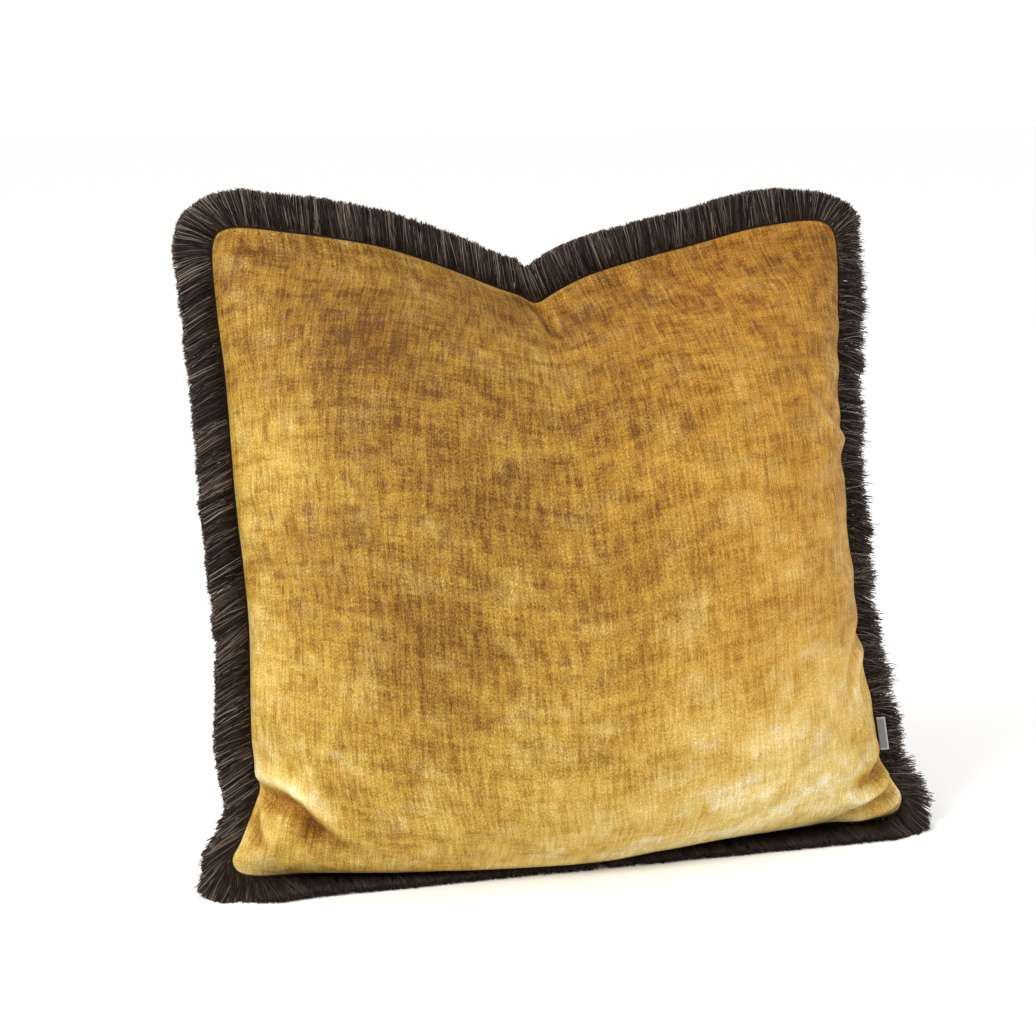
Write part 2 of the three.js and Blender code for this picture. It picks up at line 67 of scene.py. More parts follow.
def new_mesh(name, points, *face_arrays):
    """A mesh from points and any number of face arrays, each holding faces of one size."""
    points = np.asarray(points, np.float32).reshape(-1, 3)
    mesh = bpy.data.meshes.new(name)
    mesh.vertices.add(len(points))
    mesh.vertices.foreach_set("co", points.ravel())
    corners = np.concatenate([faces.ravel() for faces in face_arrays]).astype(np.int32)
    sizes = np.concatenate([np.full(len(faces), faces.shape[1]) for faces in face_arrays])
    starts = np.concatenate([[0], np.cumsum(sizes)[:-1]]).astype(np.int32)
    mesh.loops.add(len(corners))
    mesh.loops.foreach_set("vertex_index", corners)
    mesh.polygons.add(len(sizes))
    mesh.polygons.foreach_set("loop_start", starts)
    mesh.polygons.foreach_set("use_smooth", np.ones(len(sizes), bool))
    mesh.update(calc_edges=True)
    return mesh


def add_numbers(mesh, name, values):
    """One number or one vector for each point, for the materials to read."""
    values = np.asarray(values, float)
    kind, field = ("FLOAT", "value") if values.ndim == 1 else ("FLOAT_VECTOR", "vector")
    attribute = mesh.attributes.new(name, kind, "POINT")
    attribute.data.foreach_set(field, values.astype(np.float32).ravel())


def placed(name, data):
    """A new object in the scene."""
    thing = bpy.data.objects.new(name, data)
    bpy.context.scene.collection.objects.link(thing)
    return thing


def new_piece(name, mesh, material, replaced):
    """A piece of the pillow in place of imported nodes."""
    piece = placed(name, mesh)
    mesh.materials.append(material)
    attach(piece, "pillow")
    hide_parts(replaced)
    return piece


def smoothed(piece):
    """Subdivides a piece once."""
    fine = piece.modifiers.new("fine", "SUBSURF")
    fine.levels = fine.render_levels = 1


def thickened(piece, thick, offset):
    """Gives a surface its thickness: offset -1 is all inwards, and 0 half to each side."""
    thickness = piece.modifiers.new("thickness", "SOLIDIFY")
    thickness.thickness = thick
    thickness.offset = offset


def grid_faces(rows, columns, outward=True):
    """The quads of a grid of points stored row by row."""
    corner = (np.arange(rows - 1)[:, None] * columns + np.arange(columns - 1)).ravel()
    faces = np.stack([corner, corner + 1, corner + columns + 1, corner + columns], 1)
    return faces if outward else faces[:, ::-1]


def wrapped_faces(rings, around):
    """The quads of a closed band: each ring of points closed, and the last ring joined to the first."""
    ring = np.arange(rings)[:, None] * around
    following = np.roll(ring, -1, 0)
    here = np.arange(around)[None]
    beside = np.roll(here, -1, 1)
    quads = np.stack([ring + here, ring + beside, following + beside, following + here], -1)
    return quads.reshape(-1, 4)


def unit(vectors):
    return vectors / np.maximum(np.linalg.norm(vectors, axis=-1, keepdims=True), 1e-12)


def tubes(name, centre, radius, sides, reference):
    """Closed round tubes, one along each row of centre points. reference is never along a tube."""
    count, levels = centre.shape[:2]
    along = unit(np.gradient(centre, axis=1))
    first = unit(np.cross(along, reference))
    second = np.cross(along, first)
    turn = (np.arange(sides) * 2 * math.pi / sides)[:, None]
    spokes = np.cos(turn) * first[:, :, None] + np.sin(turn) * second[:, :, None]
    points = centre[:, :, None] + radius * spokes
    start = (sides * levels * np.arange(count))[:, None, None]
    level = sides * np.arange(levels - 1)[None, :, None]
    here = np.arange(sides)[None, None, :]
    beside = np.roll(here, -1, 2)
    low, high = start + level, start + level + sides
    walls = np.stack([low + here, low + beside, high + beside, high + here], -1).reshape(-1, 4)
    first_caps = start[:, 0] + np.arange(sides)[::-1]
    last_caps = start[:, 0] + sides * (levels - 1) + np.arange(sides)
    return new_mesh(name, points, walls, np.concatenate([first_caps, last_caps]))


def smoothstep(x):
    x = np.clip(x, 0, 1)
    return x * x * (3 - 2 * x)


# ---- The seam ----

HEADING_OVERHANG = 0.004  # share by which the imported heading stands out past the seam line
SEAM_HALF_GAP = 1 * MM
BOTTOM, RIGHT, TOP, LEFT = range(4)  # the seam's four edges, anticlockwise from the front

heading_points = node_points("fringe_heading")
MIDDLE = (heading_points.min(0) + heading_points.max(0)) / 2
plane_axes = np.linalg.svd(heading_points - MIDDLE, full_matrices=False)[2]
FRONT = -plane_axes[2] * np.sign(plane_axes[2][1])
ACROSS = np.array([1.0, 0.0, 0.0])
UP = np.cross(FRONT, ACROSS)


def from_plane(flat):
    return MIDDLE + flat[..., :1] * ACROSS + flat[..., 1:] * UP


def spline(points, steps):
    """A closed smooth curve through points, with steps pieces to each span."""
    before, after, beyond = (np.roll(points, shift, 0) for shift in (1, -1, -2))
    gap = np.sqrt(np.linalg.norm(after - points, axis=1))[:, None]
    gap_before, gap_after = np.roll(gap, 1, 0), np.roll(gap, -1, 0)
    slope = (after - points) / gap
    slope_in = (points - before) / gap_before - (after - before) / (gap_before + gap) + slope
    slope_out = slope - (beyond - points) / (gap + gap_after) + (beyond - after) / gap_after
    t = (np.arange(steps) / steps)[None, :, None]
    weights = (2 * t**3 - 3 * t**2 + 1, t**3 - 2 * t**2 + t, -2 * t**3 + 3 * t**2, t**3 - t**2)
    parts = (points, slope_in * gap, after, slope_out * gap)
    curve = sum(weight * part[:, None] for weight, part in zip(weights, parts))
    return curve.reshape(-1, points.shape[1])


def at_shares(line, shares):
    """Points at the given shares of a line's length."""
    reached = np.concatenate([[0], np.cumsum(np.linalg.norm(np.diff(line, axis=0), axis=1))])
    places = np.asarray(shares) * reached[-1]
    return np.stack([np.interp(places, reached, column) for column in line.T], -1)


def dent_share():
    """Where the bottom of the dent lies, as a share of the top edge from its right end."""
    line = EDGES[TOP]
    return line_length(line[: line[:, 1].argmin() + 1]) / line_length(line)


def top_shares(share):
    """Shares along the top edge, from the right, that put the middle of the grid in its dent."""
    waist = dent_share()
    from_right = 1 - share
    beyond = waist + (2 * from_right - 1) * (1 - waist)
    return np.where(from_right < 0.5, 2 * from_right * waist, beyond)


def line_length(line):
    return np.linalg.norm(np.diff(line, axis=0), axis=1).sum()


def seam_edges():
    """The four edges of the seam in the seam plane, each a fine line of points."""
    tree = node_tree("fringe_heading")
    relative = heading_points - MIDDLE
    flat = np.unique(np.round(np.stack([relative @ ACROSS, relative @ UP], 1), 5), axis=0)
    rim = []
    for point in flat:
        direction = Vector(unit(from_plane(point) - MIDDLE))
        reach = FAR - tree.ray_cast(Vector(MIDDLE) + FAR * direction, -direction)[3]
        if np.linalg.norm(point) > reach - 0.5 * MM:
            rim.append(point)
    rim = np.array(rim)
    rim = rim[np.argsort(np.arctan2(rim[:, 1], rim[:, 0]))]
    keep = np.linalg.norm(rim - np.roll(rim, 1, 0), axis=1) > 0.05 * MM
    rim = rim[keep] * (1 - HEADING_OVERHANG)
    steps = 12
    curve = spline(rim, steps)
    signs = [(-1, -1), (1, -1), (1, 1), (-1, 1)]  # bottom left, bottom right, top right, top left
    at = [steps * int(np.argmax(rim @ np.array(sign))) for sign in signs]
    edges = []
    for start, end in zip(at, at[1:] + at[:1]):
        count = (end - start) % len(curve)
        edges.append(curve[(start + np.arange(count + 1)) % len(curve)])
    return edges


EDGES = seam_edges()

# ---- The panels ----

GRID = 108  # squares along each side of a panel, before it is subdivided
CROWN_GUESS = 60 * MM
FIT_ROUNDS = 5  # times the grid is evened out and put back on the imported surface
FACET_ROUNDS = 24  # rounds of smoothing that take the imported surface's facets out
ZIP_EDGE_Z = 1 * MM
ZIP_EDGE_INSET = 2.2 * MM  # from the far side of the back tape to the panel's folded edge
ZIP_MOUTH = 0.06  # share of the bottom edge, at each end, over which that fold dies out


def unit_grid(steps):
    """u across and v up, as arrays indexed [v, u]."""
    share = np.linspace(0, 1, steps + 1)
    return np.meshgrid(share, share)


def flat_patch(steps):
    """A patch in the seam plane between the seam's four edges."""
    share = np.linspace(0, 1, steps + 1)
    bottom, right = at_shares(EDGES[BOTTOM], share), at_shares(EDGES[RIGHT], share)
    top, left = at_shares(EDGES[TOP], top_shares(share)), at_shares(EDGES[LEFT], 1 - share)
    u, v = (values[..., None] for values in unit_grid(steps))
    ruled = (1 - v) * bottom[None] + v * top[None] + (1 - u) * left[:, None] + u * right[:, None]
    twice = (1 - u) * (1 - v) * bottom[0] + u * (1 - v) * bottom[-1]
    return ruled - twice - u * v * top[-1] - (1 - u) * v * top[0]


def onto_node(points, tree):
    """The points inside the border, moved along lines from the middle onto a node's outside."""
    moved = points.copy()
    for row in range(1, len(points) - 1):
        for column in range(1, len(points) - 1):
            direction = Vector(points[row, column] - MIDDLE).normalized()
            hit = tree.ray_cast(Vector(MIDDLE) + FAR * direction, -direction)[0]
            if hit is not None:
                moved[row, column] = hit
    return moved


def relaxed(points, rounds, amount=0.5):
    """The points inside the border, each drawn towards the mean of its four neighbours."""
    points = points.copy()
    for _ in range(rounds):
        mean = (points[2:, 1:-1] + points[:-2, 1:-1] + points[1:-1, 2:] + points[1:-1, :-2]) / 4
        points[1:-1, 1:-1] += amount * (mean - points[1:-1, 1:-1])
    return points


def without_facets(points, rounds):
    """Smoothing that keeps the volume: each shrinking step is followed by a growing one."""
    for _ in range(rounds):
        points = relaxed(relaxed(points, 1, 0.5), 1, -0.52)
    return points


def panel_surface(node, side, steps, zipped=False, shrink=1.0):
    """A smooth grid over the outside of a packed panel. side is 1 for the front and -1 for the back."""
    tree = node_tree(node)
    u, v = unit_grid(steps)
    crown = CROWN_GUESS * np.sqrt(16 * u * (1 - u) * v * (1 - v))
    points = from_plane(flat_patch(steps)) + side * (SEAM_HALF_GAP + crown)[..., None] * FRONT
    points = MIDDLE + shrink * (points - MIDDLE)
    if zipped:
        share = np.linspace(0, 1, steps + 1)
        pull = smoothstep(share / ZIP_MOUTH) * smoothstep((1 - share) / ZIP_MOUTH)
        edge_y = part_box("zip_tape_back")[1].y - ZIP_EDGE_INSET
        points[0, :, 1] += pull * (edge_y - points[0, :, 1])
        points[0, :, 2] += pull * (ZIP_EDGE_Z - points[0, :, 2])
    for _ in range(FIT_ROUNDS):
        points = relaxed(onto_node(points, tree), 8)
    points = onto_node(points, tree)
    return without_facets(points, FACET_ROUNDS)


def grid_normals(points):
    """Outward normals of a grid whose rows run up and whose columns run to +X, seen from the front."""
    along_v, along_u = np.gradient(points, axis=(0, 1))
    return unit(np.cross(along_u, along_v))


# ---- Materials ----


def put(tree, kind, sockets=None, **settings):
    """A new shader node, with its settings, and its sockets linked or set."""
    node = tree.nodes.new("ShaderNode" + kind)
    for name, value in settings.items():
        setattr(node, name, value)
    for name, value in (sockets or {}).items():
        if isinstance(value, bpy.types.NodeSocket):
            tree.links.new(value, node.inputs[name])
        else:
            node.inputs[name].default_value = value
    return node


def new_material(name, roughness, **sockets):
    material = bpy.data.materials.new(name)
    material.use_nodes = True
    shader = material.node_tree.nodes["Principled BSDF"]
    shader.inputs["Roughness"].default_value = roughness
    for socket, value in sockets.items():
        shader.inputs[socket.replace("_", " ")].default_value = value
    return material, material.node_tree, shader


def attribute(tree, name):
    return put(tree, "Attribute", attribute_type="GEOMETRY", attribute_name=name).outputs


def noise(tree, place, scale, detail=2.0, roughness=0.5, shift=(0, 0, 0), distortion=0.0):
    """Noise from 0 to 1 with its own scale along each axis, in features per metre."""
    scaled = put(tree, "VectorMath", {0: place, 1: scale, 2: shift}, operation="MULTIPLY_ADD")
    sockets = {
        "Vector": scaled.outputs[0],
        "Scale": 1.0,
        "Detail": detail,
        "Roughness": roughness,
        "Distortion": distortion,
    }
    return put(tree, "TexNoise", sockets).outputs["Fac"]


def maths(tree, operation, *values, clamp=False):
    sockets = dict(enumerate(values))
    return put(tree, "Math", sockets, operation=operation, use_clamp=clamp).outputs[0]


def remap(tree, value, low, high, to_low=0.0, to_high=1.0):
    """value from low..high taken to to_low..to_high with soft ends."""
    sockets = {"Value": value, 1: low, 2: high, 3: to_low, 4: to_high}
    return put(tree, "MapRange", sockets, interpolation_type="SMOOTHSTEP").outputs[0]


def centred(tree, value, low=0.3, high=0.7):
    """value from low..high taken to -1..1."""
    return remap(tree, value, low, high, -1.0, 1.0)


def added(tree, total, value, amount):
    return maths(tree, "MULTIPLY_ADD", value, amount, total)


def tinted(tree, colour, tint, share):
    """colour multiplied by a tint, by a share from 0 to 1."""
    sockets = {0: share, 6: colour, 7: tint}
    return put(tree, "Mix", sockets, data_type="RGBA", blend_type="MULTIPLY").outputs[2]


def ramp(tree, value, stops):
    """A colour ramp: stops are (place, linear colour)."""
    node = put(tree, "ValToRGB", {"Fac": value})
    elements = node.color_ramp.elements
    while len(elements) < len(stops):
        elements.new(1.0)
    for element, (place, colour) in zip(elements, stops):
        element.position = place
        element.color = (*colour, 1.0)
    return node.outputs["Color"]


def bump(tree, shader, height, distance, strength=1.0):
    node = put(tree, "Bump", {"Height": height, "Distance": distance, "Strength": strength})
    tree.links.new(node.outputs[0], shader.inputs["Normal"])


def weave(tree, place, pitch):
    """A plain weave's height, from -1 to 1, with threads this far apart."""
    parts = put(tree, "SeparateXYZ", {0: place}).outputs
    turns = [maths(tree, "MULTIPLY", part, math.pi / pitch) for part in parts[:2]]
    return maths(tree, "MULTIPLY", *(maths(tree, "SINE", turn) for turn in turns))


def object_place(tree):
    return put(tree, "TexCoord").outputs["Object"]


# Velvet colours, from crushed pile seen end on and painted shade, to pile brushed towards the light and
# painted highlight.
VELVET_STOPS = [
    (0.00, (0.105, 0.041, 0.0045)),
    (0.25, (0.235, 0.108, 0.0130)),
    (0.50, (0.350, 0.195, 0.0260)),
    (0.70, (0.500, 0.315, 0.0530)),
    (0.87, (0.625, 0.455, 0.1400)),
    (1.00, (0.780, 0.650, 0.3200)),
]
# Warmer, darker tint; it also paints the shade in grooves.
WARM_TINT = (1.02, 0.86, 0.66, 1)
PALE_TINT = (1.0, 1.14, 2.1, 1)  # patches where the pile catches the light are greyer


def velvet_material():
    sheen = {"Sheen_Weight": 0.12, "Sheen_Roughness": 0.35, "Sheen_Tint": (1.0, 0.85, 0.5, 1.0)}
    material, tree, shader = new_material("gold_velvet", 0.5, Specular_IOR_Level=0.17, **sheen)
    cloth = attribute(tree, "cloth")["Vector"]
    # Pile lay together with painted light and shade.
    lay_and_light = attribute(tree, "lay_and_light")["Fac"]
    broad = noise(tree, cloth, (15, 18, 1), 2, 0.5)
    clouds = noise(tree, cloth, (46, 50, 1), 5, 0.62)
    blots = noise(tree, cloth, (62, 74, 1), 7, 0.72, shift=(7, 3, 0))
    across = noise(tree, cloth, (34, 150, 1), 4, 0.62, shift=(1, 9, 0))
    upward = noise(tree, cloth, (170, 34, 1), 4, 0.62, shift=(4, 2, 0))
    pale = noise(tree, cloth, (30, 38, 1), 6, 0.7, shift=(11, 6, 0))
    ribs = noise(tree, cloth, (520, 45, 1), 2, 0.55)
    grain = noise(tree, cloth, (1700, 760, 1), 1, 0.6)
    fine = noise(tree, cloth, (900, 620, 1), 1, 0.5, shift=(2, 5, 0))
    hatch = centred(tree, ribs, 0.32, 0.68)
    tone = added(tree, lay_and_light, centred(tree, broad), 0.07)
    tone = added(tree, tone, centred(tree, clouds), 0.07)
    slubs = centred(tree, maths(tree, "ADD", across, upward), 0.75, 1.25)
    # The marks fade out where the velvet is light: where the pile is brushed smooth, and where light is
    # painted.
    marked = remap(tree, tone, 0.45, 0.85, 1.0, 0.25)
    tone = added(tree, tone, slubs, maths(tree, "MULTIPLY", marked, 0.10))
    # Dark blots lie where the pile is crushed, and show most between the ribs.
    edge = added(tree, added(tree, blots, hatch, -0.03), slubs, -0.05)
    blot = remap(tree, edge, 0.51, 0.64)
    tone = added(tree, tone, blot, maths(tree, "MULTIPLY", marked, -0.13))
    # Painted sheen: pale, greyer patches where the pile catches the light.
    sheen_patches = remap(tree, pale, 0.48, 0.66, 0.0, 0.75)
    tone = added(tree, tone, sheen_patches, 0.05)
    # The grain and ribs show a little less there too.
    rough_pile = remap(tree, tone, 0.35, 0.95, 1.0, 0.5)
    texture = maths(tree, "MULTIPLY", centred(tree, grain), 0.15)
    texture = added(tree, texture, centred(tree, fine), 0.12)
    texture = added(tree, texture, hatch, 0.10)
    tone = added(tree, tone, texture, rough_pile)
    warm = maths(tree, "MULTIPLY", attribute(tree, "warm")["Fac"], 1.0, clamp=True)
    gold = tinted(tree, ramp(tree, tone, VELVET_STOPS), PALE_TINT, sheen_patches)
    gold = tinted(tree, gold, WARM_TINT, warm)
    tree.links.new(gold, shader.inputs["Base Color"])
    tree.links.new(remap(tree, tone, 0.2, 0.9, 0.62, 0.42), shader.inputs["Roughness"])
    height = added(tree, maths(tree, "MULTIPLY", grain, 0.4), ribs, 0.5)
    height = added(tree, height, blot, -0.4)
    bump(tree, shader, height, 0.5 * MM, 0.8)
    return material


YARN_STOPS = [
    (0.00, (0.0085, 0.0050, 0.0038)),
    (0.45, (0.0230, 0.0140, 0.0105)),
    (0.75, (0.0740, 0.0510, 0.0395)),
    (1.00, (0.2900, 0.2200, 0.1700)),
]


def yarn_material():
    material, tree, shader = new_material("fringe_yarn", 0.45, Specular_IOR_Level=0.15)
    tone = attribute(tree, "tone")["Fac"]
    along = attribute(tree, "along")["Fac"]
    # Painted highlight: each strand is lighter towards its tip.
    shade = added(tree, tone, along, 0.10)
    tree.links.new(ramp(tree, shade, YARN_STOPS), shader.inputs["Base Color"])
    place = attribute(tree, "twist")["Vector"]
    ply = noise(tree, place, (1, 1, 1), 2, 0.5)
    bump(tree, shader, ply, 0.12 * MM, 0.6)
    return material


def woven_material(name, place_name, dark, light, pitch, roughness=0.8, border=None):
    """A plain woven cloth. border is the colour of the selvedge that a "border" attribute marks."""
    material, tree, shader = new_material(name, roughness, Sheen_Weight=0.1, Specular_IOR_Level=0.2)
    place = attribute(tree, place_name)["Vector"] if place_name else object_place(tree)
    threads = weave(tree, place, pitch)
    slubs = noise(tree, place, (0.35 / pitch, 0.08 / pitch, 0.35 / pitch), 3, 0.6)
    tone = added(tree, slubs, threads, 0.22)
    colour = ramp(tree, tone, [(0.2, dark), (0.8, light)])
    if border:
        mark = attribute(tree, "border")["Fac"]
        mixed = put(tree, "Mix", {0: mark, 6: colour, 7: (*border, 1)}, data_type="RGBA")
        colour = mixed.outputs[2]
    tree.links.new(colour, shader.inputs["Base Color"])
    bump(tree, shader, added(tree, slubs, threads, 0.5), 0.25 * pitch, 0.7)
    return material


def thread_material(name, dark, light, roughness):
    """Spun or drawn thread, with fine streaks."""
    material, tree, shader = new_material(name, roughness)
    streaks = noise(tree, object_place(tree), (900, 900, 900), 2, 0.6)
    tree.links.new(ramp(tree, streaks, [(0.3, dark), (0.7, light)]), shader.inputs["Base Color"])
    bump(tree, shader, streaks, 0.05 * MM, 0.6)
    return material


def brass_material():
    """Antique brass: tarnish in soft clouds, and fine scratches that vary the gloss."""
    material, tree, shader = new_material("antique_brass", 0.35, Metallic=1.0)
    place = object_place(tree)
    tarnish = noise(tree, place, (420, 420, 420), 4, 0.6)
    scratches = noise(tree, place, (300, 6000, 2500), 2, 0.6)
    stops = [(0.30, (0.19, 0.125, 0.055)), (0.55, (0.44, 0.32, 0.14)), (0.80, (0.62, 0.48, 0.24))]
    tree.links.new(ramp(tree, tarnish, stops), shader.inputs["Base Color"])
    dull = added(tree, remap(tree, tarnish, 0.3, 0.8, 0.38, 0.16), scratches, 0.2)
    tree.links.new(dull, shader.inputs["Roughness"])
    bump(tree, shader, scratches, 0.02 * MM, 0.5)
    return material


def filling_material():
    """Loose fibre: pale, matt and cloudy."""
    material, tree, shader = new_material("loose_filling", 0.95, Sheen_Weight=0.3)
    place = object_place(tree)
    tufts = noise(tree, place, (60, 60, 60), 5, 0.65)
    fibres = noise(tree, place, (900, 300, 900), 3, 0.6, distortion=0.6)
    stops = [(0.3, (0.72, 0.70, 0.66)), (0.7, (0.88, 0.87, 0.84))]
    tree.links.new(ramp(tree, tufts, stops), shader.inputs["Base Color"])
    bump(tree, shader, added(tree, tufts, fibres, 0.3), 1.5 * MM, 0.8)
    return material


VELVET = velvet_material()
YARN = yarn_material()
COTTON = woven_material("downproof_cotton", "cloth", (0.66, 0.64, 0.59), (0.84, 0.82, 0.77), 0.4 * MM)
HEADING_TAPE = woven_material("heading_tape", "cloth", (0.008, 0.005, 0.004), (0.03, 0.019, 0.015), 0.7 * MM)
ZIP_TAPE = woven_material("zip_tape", None, (0.20, 0.105, 0.018), (0.38, 0.22, 0.045), 0.6 * MM)
RIBBON = woven_material(
    "grey_ribbon", "cloth", (0.150, 0.150, 0.145), (0.23, 0.23, 0.222), 0.35 * MM, 0.6, (0.40, 0.40, 0.39)
)
SATIN = woven_material("white_satin", "cloth", (0.70, 0.70, 0.68), (0.86, 0.86, 0.84), 0.25 * MM, 0.35)
THREAD = thread_material("gold_thread", (0.22, 0.12, 0.02), (0.42, 0.26, 0.06), 0.5)
NYLON = thread_material("gold_nylon", (0.20, 0.11, 0.022), (0.30, 0.18, 0.04), 0.3)
BRASS = brass_material()
FILLING = filling_material()

# ---- Cloth simulation ----

SIM_FRAMES = 30
SIM_PRESSURE = 4.0
REST_KEY = "flat"
GROUND_CONTACT = 3 * MM  # points of the back lower than this stay where they rest


def closed_cover(front, back, open_bottom=False):
    """Both grids as one closed surface: all their points, the numbers of those in use, and faces."""
    count = len(front)
    number = np.arange(count * count).reshape(count, count)
    other = number + count * count
    for place in ((slice(None), 0), (slice(None), -1), (-1, slice(None))):
        other[place] = number[place]
    if not open_bottom:
        other[0] = number[0]
    corners = (other[:-1, :-1], other[1:, :-1], other[1:, 1:], other[:-1, 1:])
    back_faces = np.stack([rows.ravel() for rows in corners], 1)
    strip = np.stack([number[0, 1:], number[0, :-1], other[0, :-1], other[0, 1:]], 1)
    faces = np.concatenate([grid_faces(count, count), back_faces, strip])
    whole = (faces != np.roll(faces, 1, 1)).all(1)
    used, faces = np.unique(faces[whole], return_inverse=True)
    points = np.concatenate([front.reshape(-1, 3), back.reshape(-1, 3)])
    return points, used, faces.reshape(-1, 4)


def held_points(points, count):
    """The points that stay put: both panels' borders, and the part that lies on the floor."""
    border = np.zeros((2, count, count), bool)
    border[:, [0, -1]] = True
    border[:, :, [0, -1]] = True
    return border.ravel() | (points[:, 2] < GROUND_CONTACT)


def blown_up(front, back):
    """Front and back after a cloth simulation of the flat cover, filled and held at its seam."""
    points, used, faces = closed_cover(front, back, open_bottom=True)
    held = held_points(points, len(front))
    mesh = new_mesh("cover_cloth", points[used], faces)
    cloth_piece = placed("cover_cloth", mesh)
    u, v = unit_grid(len(front) - 1)
    flat = np.stack([(u - 0.5) * COVER_FLAT, np.zeros(u.shape), v * COVER_FLAT], -1).reshape(-1, 3)
    flat = np.concatenate([flat, flat])[used]
    cloth_piece.shape_key_add(name="Basis")
    rest = cloth_piece.shape_key_add(name=REST_KEY)
    rest.data.foreach_set("co", flat.astype(np.float32).ravel())
    group = cloth_piece.vertex_groups.new(name="held")
    group.add(np.flatnonzero(held[used]).tolist(), 1.0, "REPLACE")
    cloth = cloth_piece.modifiers.new("cloth", "CLOTH")
    settings = cloth.settings
    settings.rest_shape_key = rest
    settings.vertex_group_mass = "held"
    settings.quality = 6
    settings.mass = 0.006
    settings.tension_stiffness = 40
    settings.compression_stiffness = 40
    settings.shear_stiffness = 8
    settings.bending_stiffness = 0.4
    settings.air_damping = 1.5
    settings.use_pressure = True
    settings.uniform_pressure_force = SIM_PRESSURE
    settings.effector_weights.gravity = 0
    cloth.collision_settings.use_collision = False
    cloth.collision_settings.use_self_collision = False
    scene = bpy.context.scene
    cloth.point_cache.frame_start, cloth.point_cache.frame_end = 1, SIM_FRAMES
    for number in range(1, SIM_FRAMES + 1):
        scene.frame_set(number)
    view = cloth_piece.evaluated_get(bpy.context.evaluated_depsgraph_get())
    moved = np.empty(3 * len(used), np.float32)
    view.data.vertices.foreach_get("co", moved)
    shape = points.copy()
    shape[used] = moved.reshape(-1, 3)
    scene.frame_set(1)
    bpy.data.objects.remove(cloth_piece)
    count = len(front)
    front_shape, back_shape = shape[: count * count], shape[count * count:]
    return front_shape.reshape(front.shape), back_shape.reshape(back.shape)


# ---- Velvet panels ----

# How the pile lies, from 0, crushed and dark, to 1, brushed light, with painted light and shade added in. It
# darkens up the panel, and changes by zones of [u, v, radius, amount]; u and v are shares from the bottom
# left corner.
# The front's zones also paint a highlight along the left edge and shade in the folds at the bottom corners.
TONE_AT_BOTTOM = 0.76
TONE_RISE = -0.53
FRONT_LAY_AND_LIGHT = [
    (0.04, 0.6, 0.12, 0.18),
    (0.05, 0.3, 0.14, 0.04),
    (0.22, 0.3, 0.2, -0.1),
    (0.42, 0.52, 0.2, -0.13),
    (0.75, 0.22, 0.24, 0.12),
    (0.28, 0.42, 0.1, -0.14),
    (0.25, 0.78, 0.12, -0.19),
    (0.36, 0.62, 0.1, -0.06),
    (0.2, 0.15, 0.1, -0.08),
    (0.84, 0.62, 0.24, 0.12),
    (0.88, 0.88, 0.14, 0.06),
    (0.84, 0.15, 0.2, 0.09),
    (0.12, 0.5, 0.08, -0.14),
    (0.6, 0.1, 0.14, 0.05),
    (0.02, 0.35, 0.1, 0.12),
    (0.12, 0.68, 0.06, 0.1),
    (0.1, 0.175, 0.045, 0.16),
    (0.105, 0.105, 0.04, -0.24),
    (0.16, 0.065, 0.025, -0.16),
    (0.955, 0.085, 0.035, -0.24),
    (0.965, 0.02, 0.03, -0.34),
]
BACK_LAY = [
    (0.25, 0.3, 0.25, 0.06),
    (0.3, 0.75, 0.16, -0.1),
    (0.75, 0.62, 0.25, 0.1),
    (0.55, 0.45, 0.12, -0.08),
]
RIM_HIGHLIGHT = 0.15  # painted highlight where the velvet rolls into the seam
FOLD_SHADING = 38.0  # painted shade in a fold's groove and painted highlight on its lip: how much a fold changes the tone, for each metre it stands out
GROOVE_SHADE_WARMTH = 90.0  # painted shade: how much warmer and darker a groove is painted, for each metre of its depth
WARM_FROM, WARM_TO = 0.30, 0.85  # the velvet turns warmer between these shares of its width


def lay_and_light_of(u, v, zones):
    lay_and_light = TONE_AT_BOTTOM + TONE_RISE * v
    for zone_u, zone_v, radius, amount in zones:
        lay_and_light += amount * np.exp(-((u - zone_u) ** 2 + (v - zone_v) ** 2) / radius**2)
    return lay_and_light


def warmth_of(u, v):
    """1 where the velvet is orange gold, and 0 where it is yellow gold."""
    return smoothstep((u - WARM_FROM) / (WARM_TO - WARM_FROM)) * smoothstep((v - 0.1) / 0.3)


# Folds: a path of [u, v], then in millimetres the half width, the depth, and the height of the lip
# on the left of the path's direction.
FRONT_FOLDS = [
    ([(0.000, 0.134), (0.04, 0.15), (0.085, 0.149), (0.19, 0.072)], 10, 10, 7),
    ([(0.004, 0.105), (0.02, 0.08), (0.05, 0.045)], 7, 6, 3),
    ([(0.995, 0.1), (0.94, 0.09), (0.87, 0.102)], 10, 7.5, 5),
    ([(0.998, 0.05), (0.93, 0.036), (0.86, 0.014)], 7, 6.5, 5),
    ([(0.5, 0.998), (0.502, 0.955), (0.52, 0.905)], 5.5, 6, 4),
    ([(0.525, 0.99), (0.56, 0.93), (0.62, 0.87)], 7, 2.5, 3),
    ([(0.48, 0.99), (0.452, 0.925), (0.4, 0.86)], 8, 2.5, 2.5),
    ([(0.99, 0.64), (0.93, 0.66), (0.86, 0.72)], 7, 2.5, 2.5),
    ([(0.995, 0.32), (0.95, 0.3), (0.88, 0.24)], 8, 3, 3),
    ([(0.7, 0.995), (0.77, 0.9), (0.86, 0.82)], 9, 2, 1.8),
    ([(0.62, 0.99), (0.68, 0.92), (0.76, 0.86)], 9, 1.8, 1.8),
]
BACK_FOLDS = [
    ([(0.5, 0.998), (0.5, 0.9), (0.53, 0.8)], 9, 6, 2),
    ([(0.52, 0.985), (0.57, 0.9), (0.65, 0.82)], 8, 3, 1.5),
    ([(0.48, 0.985), (0.43, 0.9), (0.35, 0.83)], 8, 3, 1.5),
    ([(0.004, 0.14), (0.06, 0.125), (0.14, 0.13)], 8, 5, 2),
    ([(0.996, 0.12), (0.93, 0.12), (0.86, 0.14)], 8, 5, 2),
]


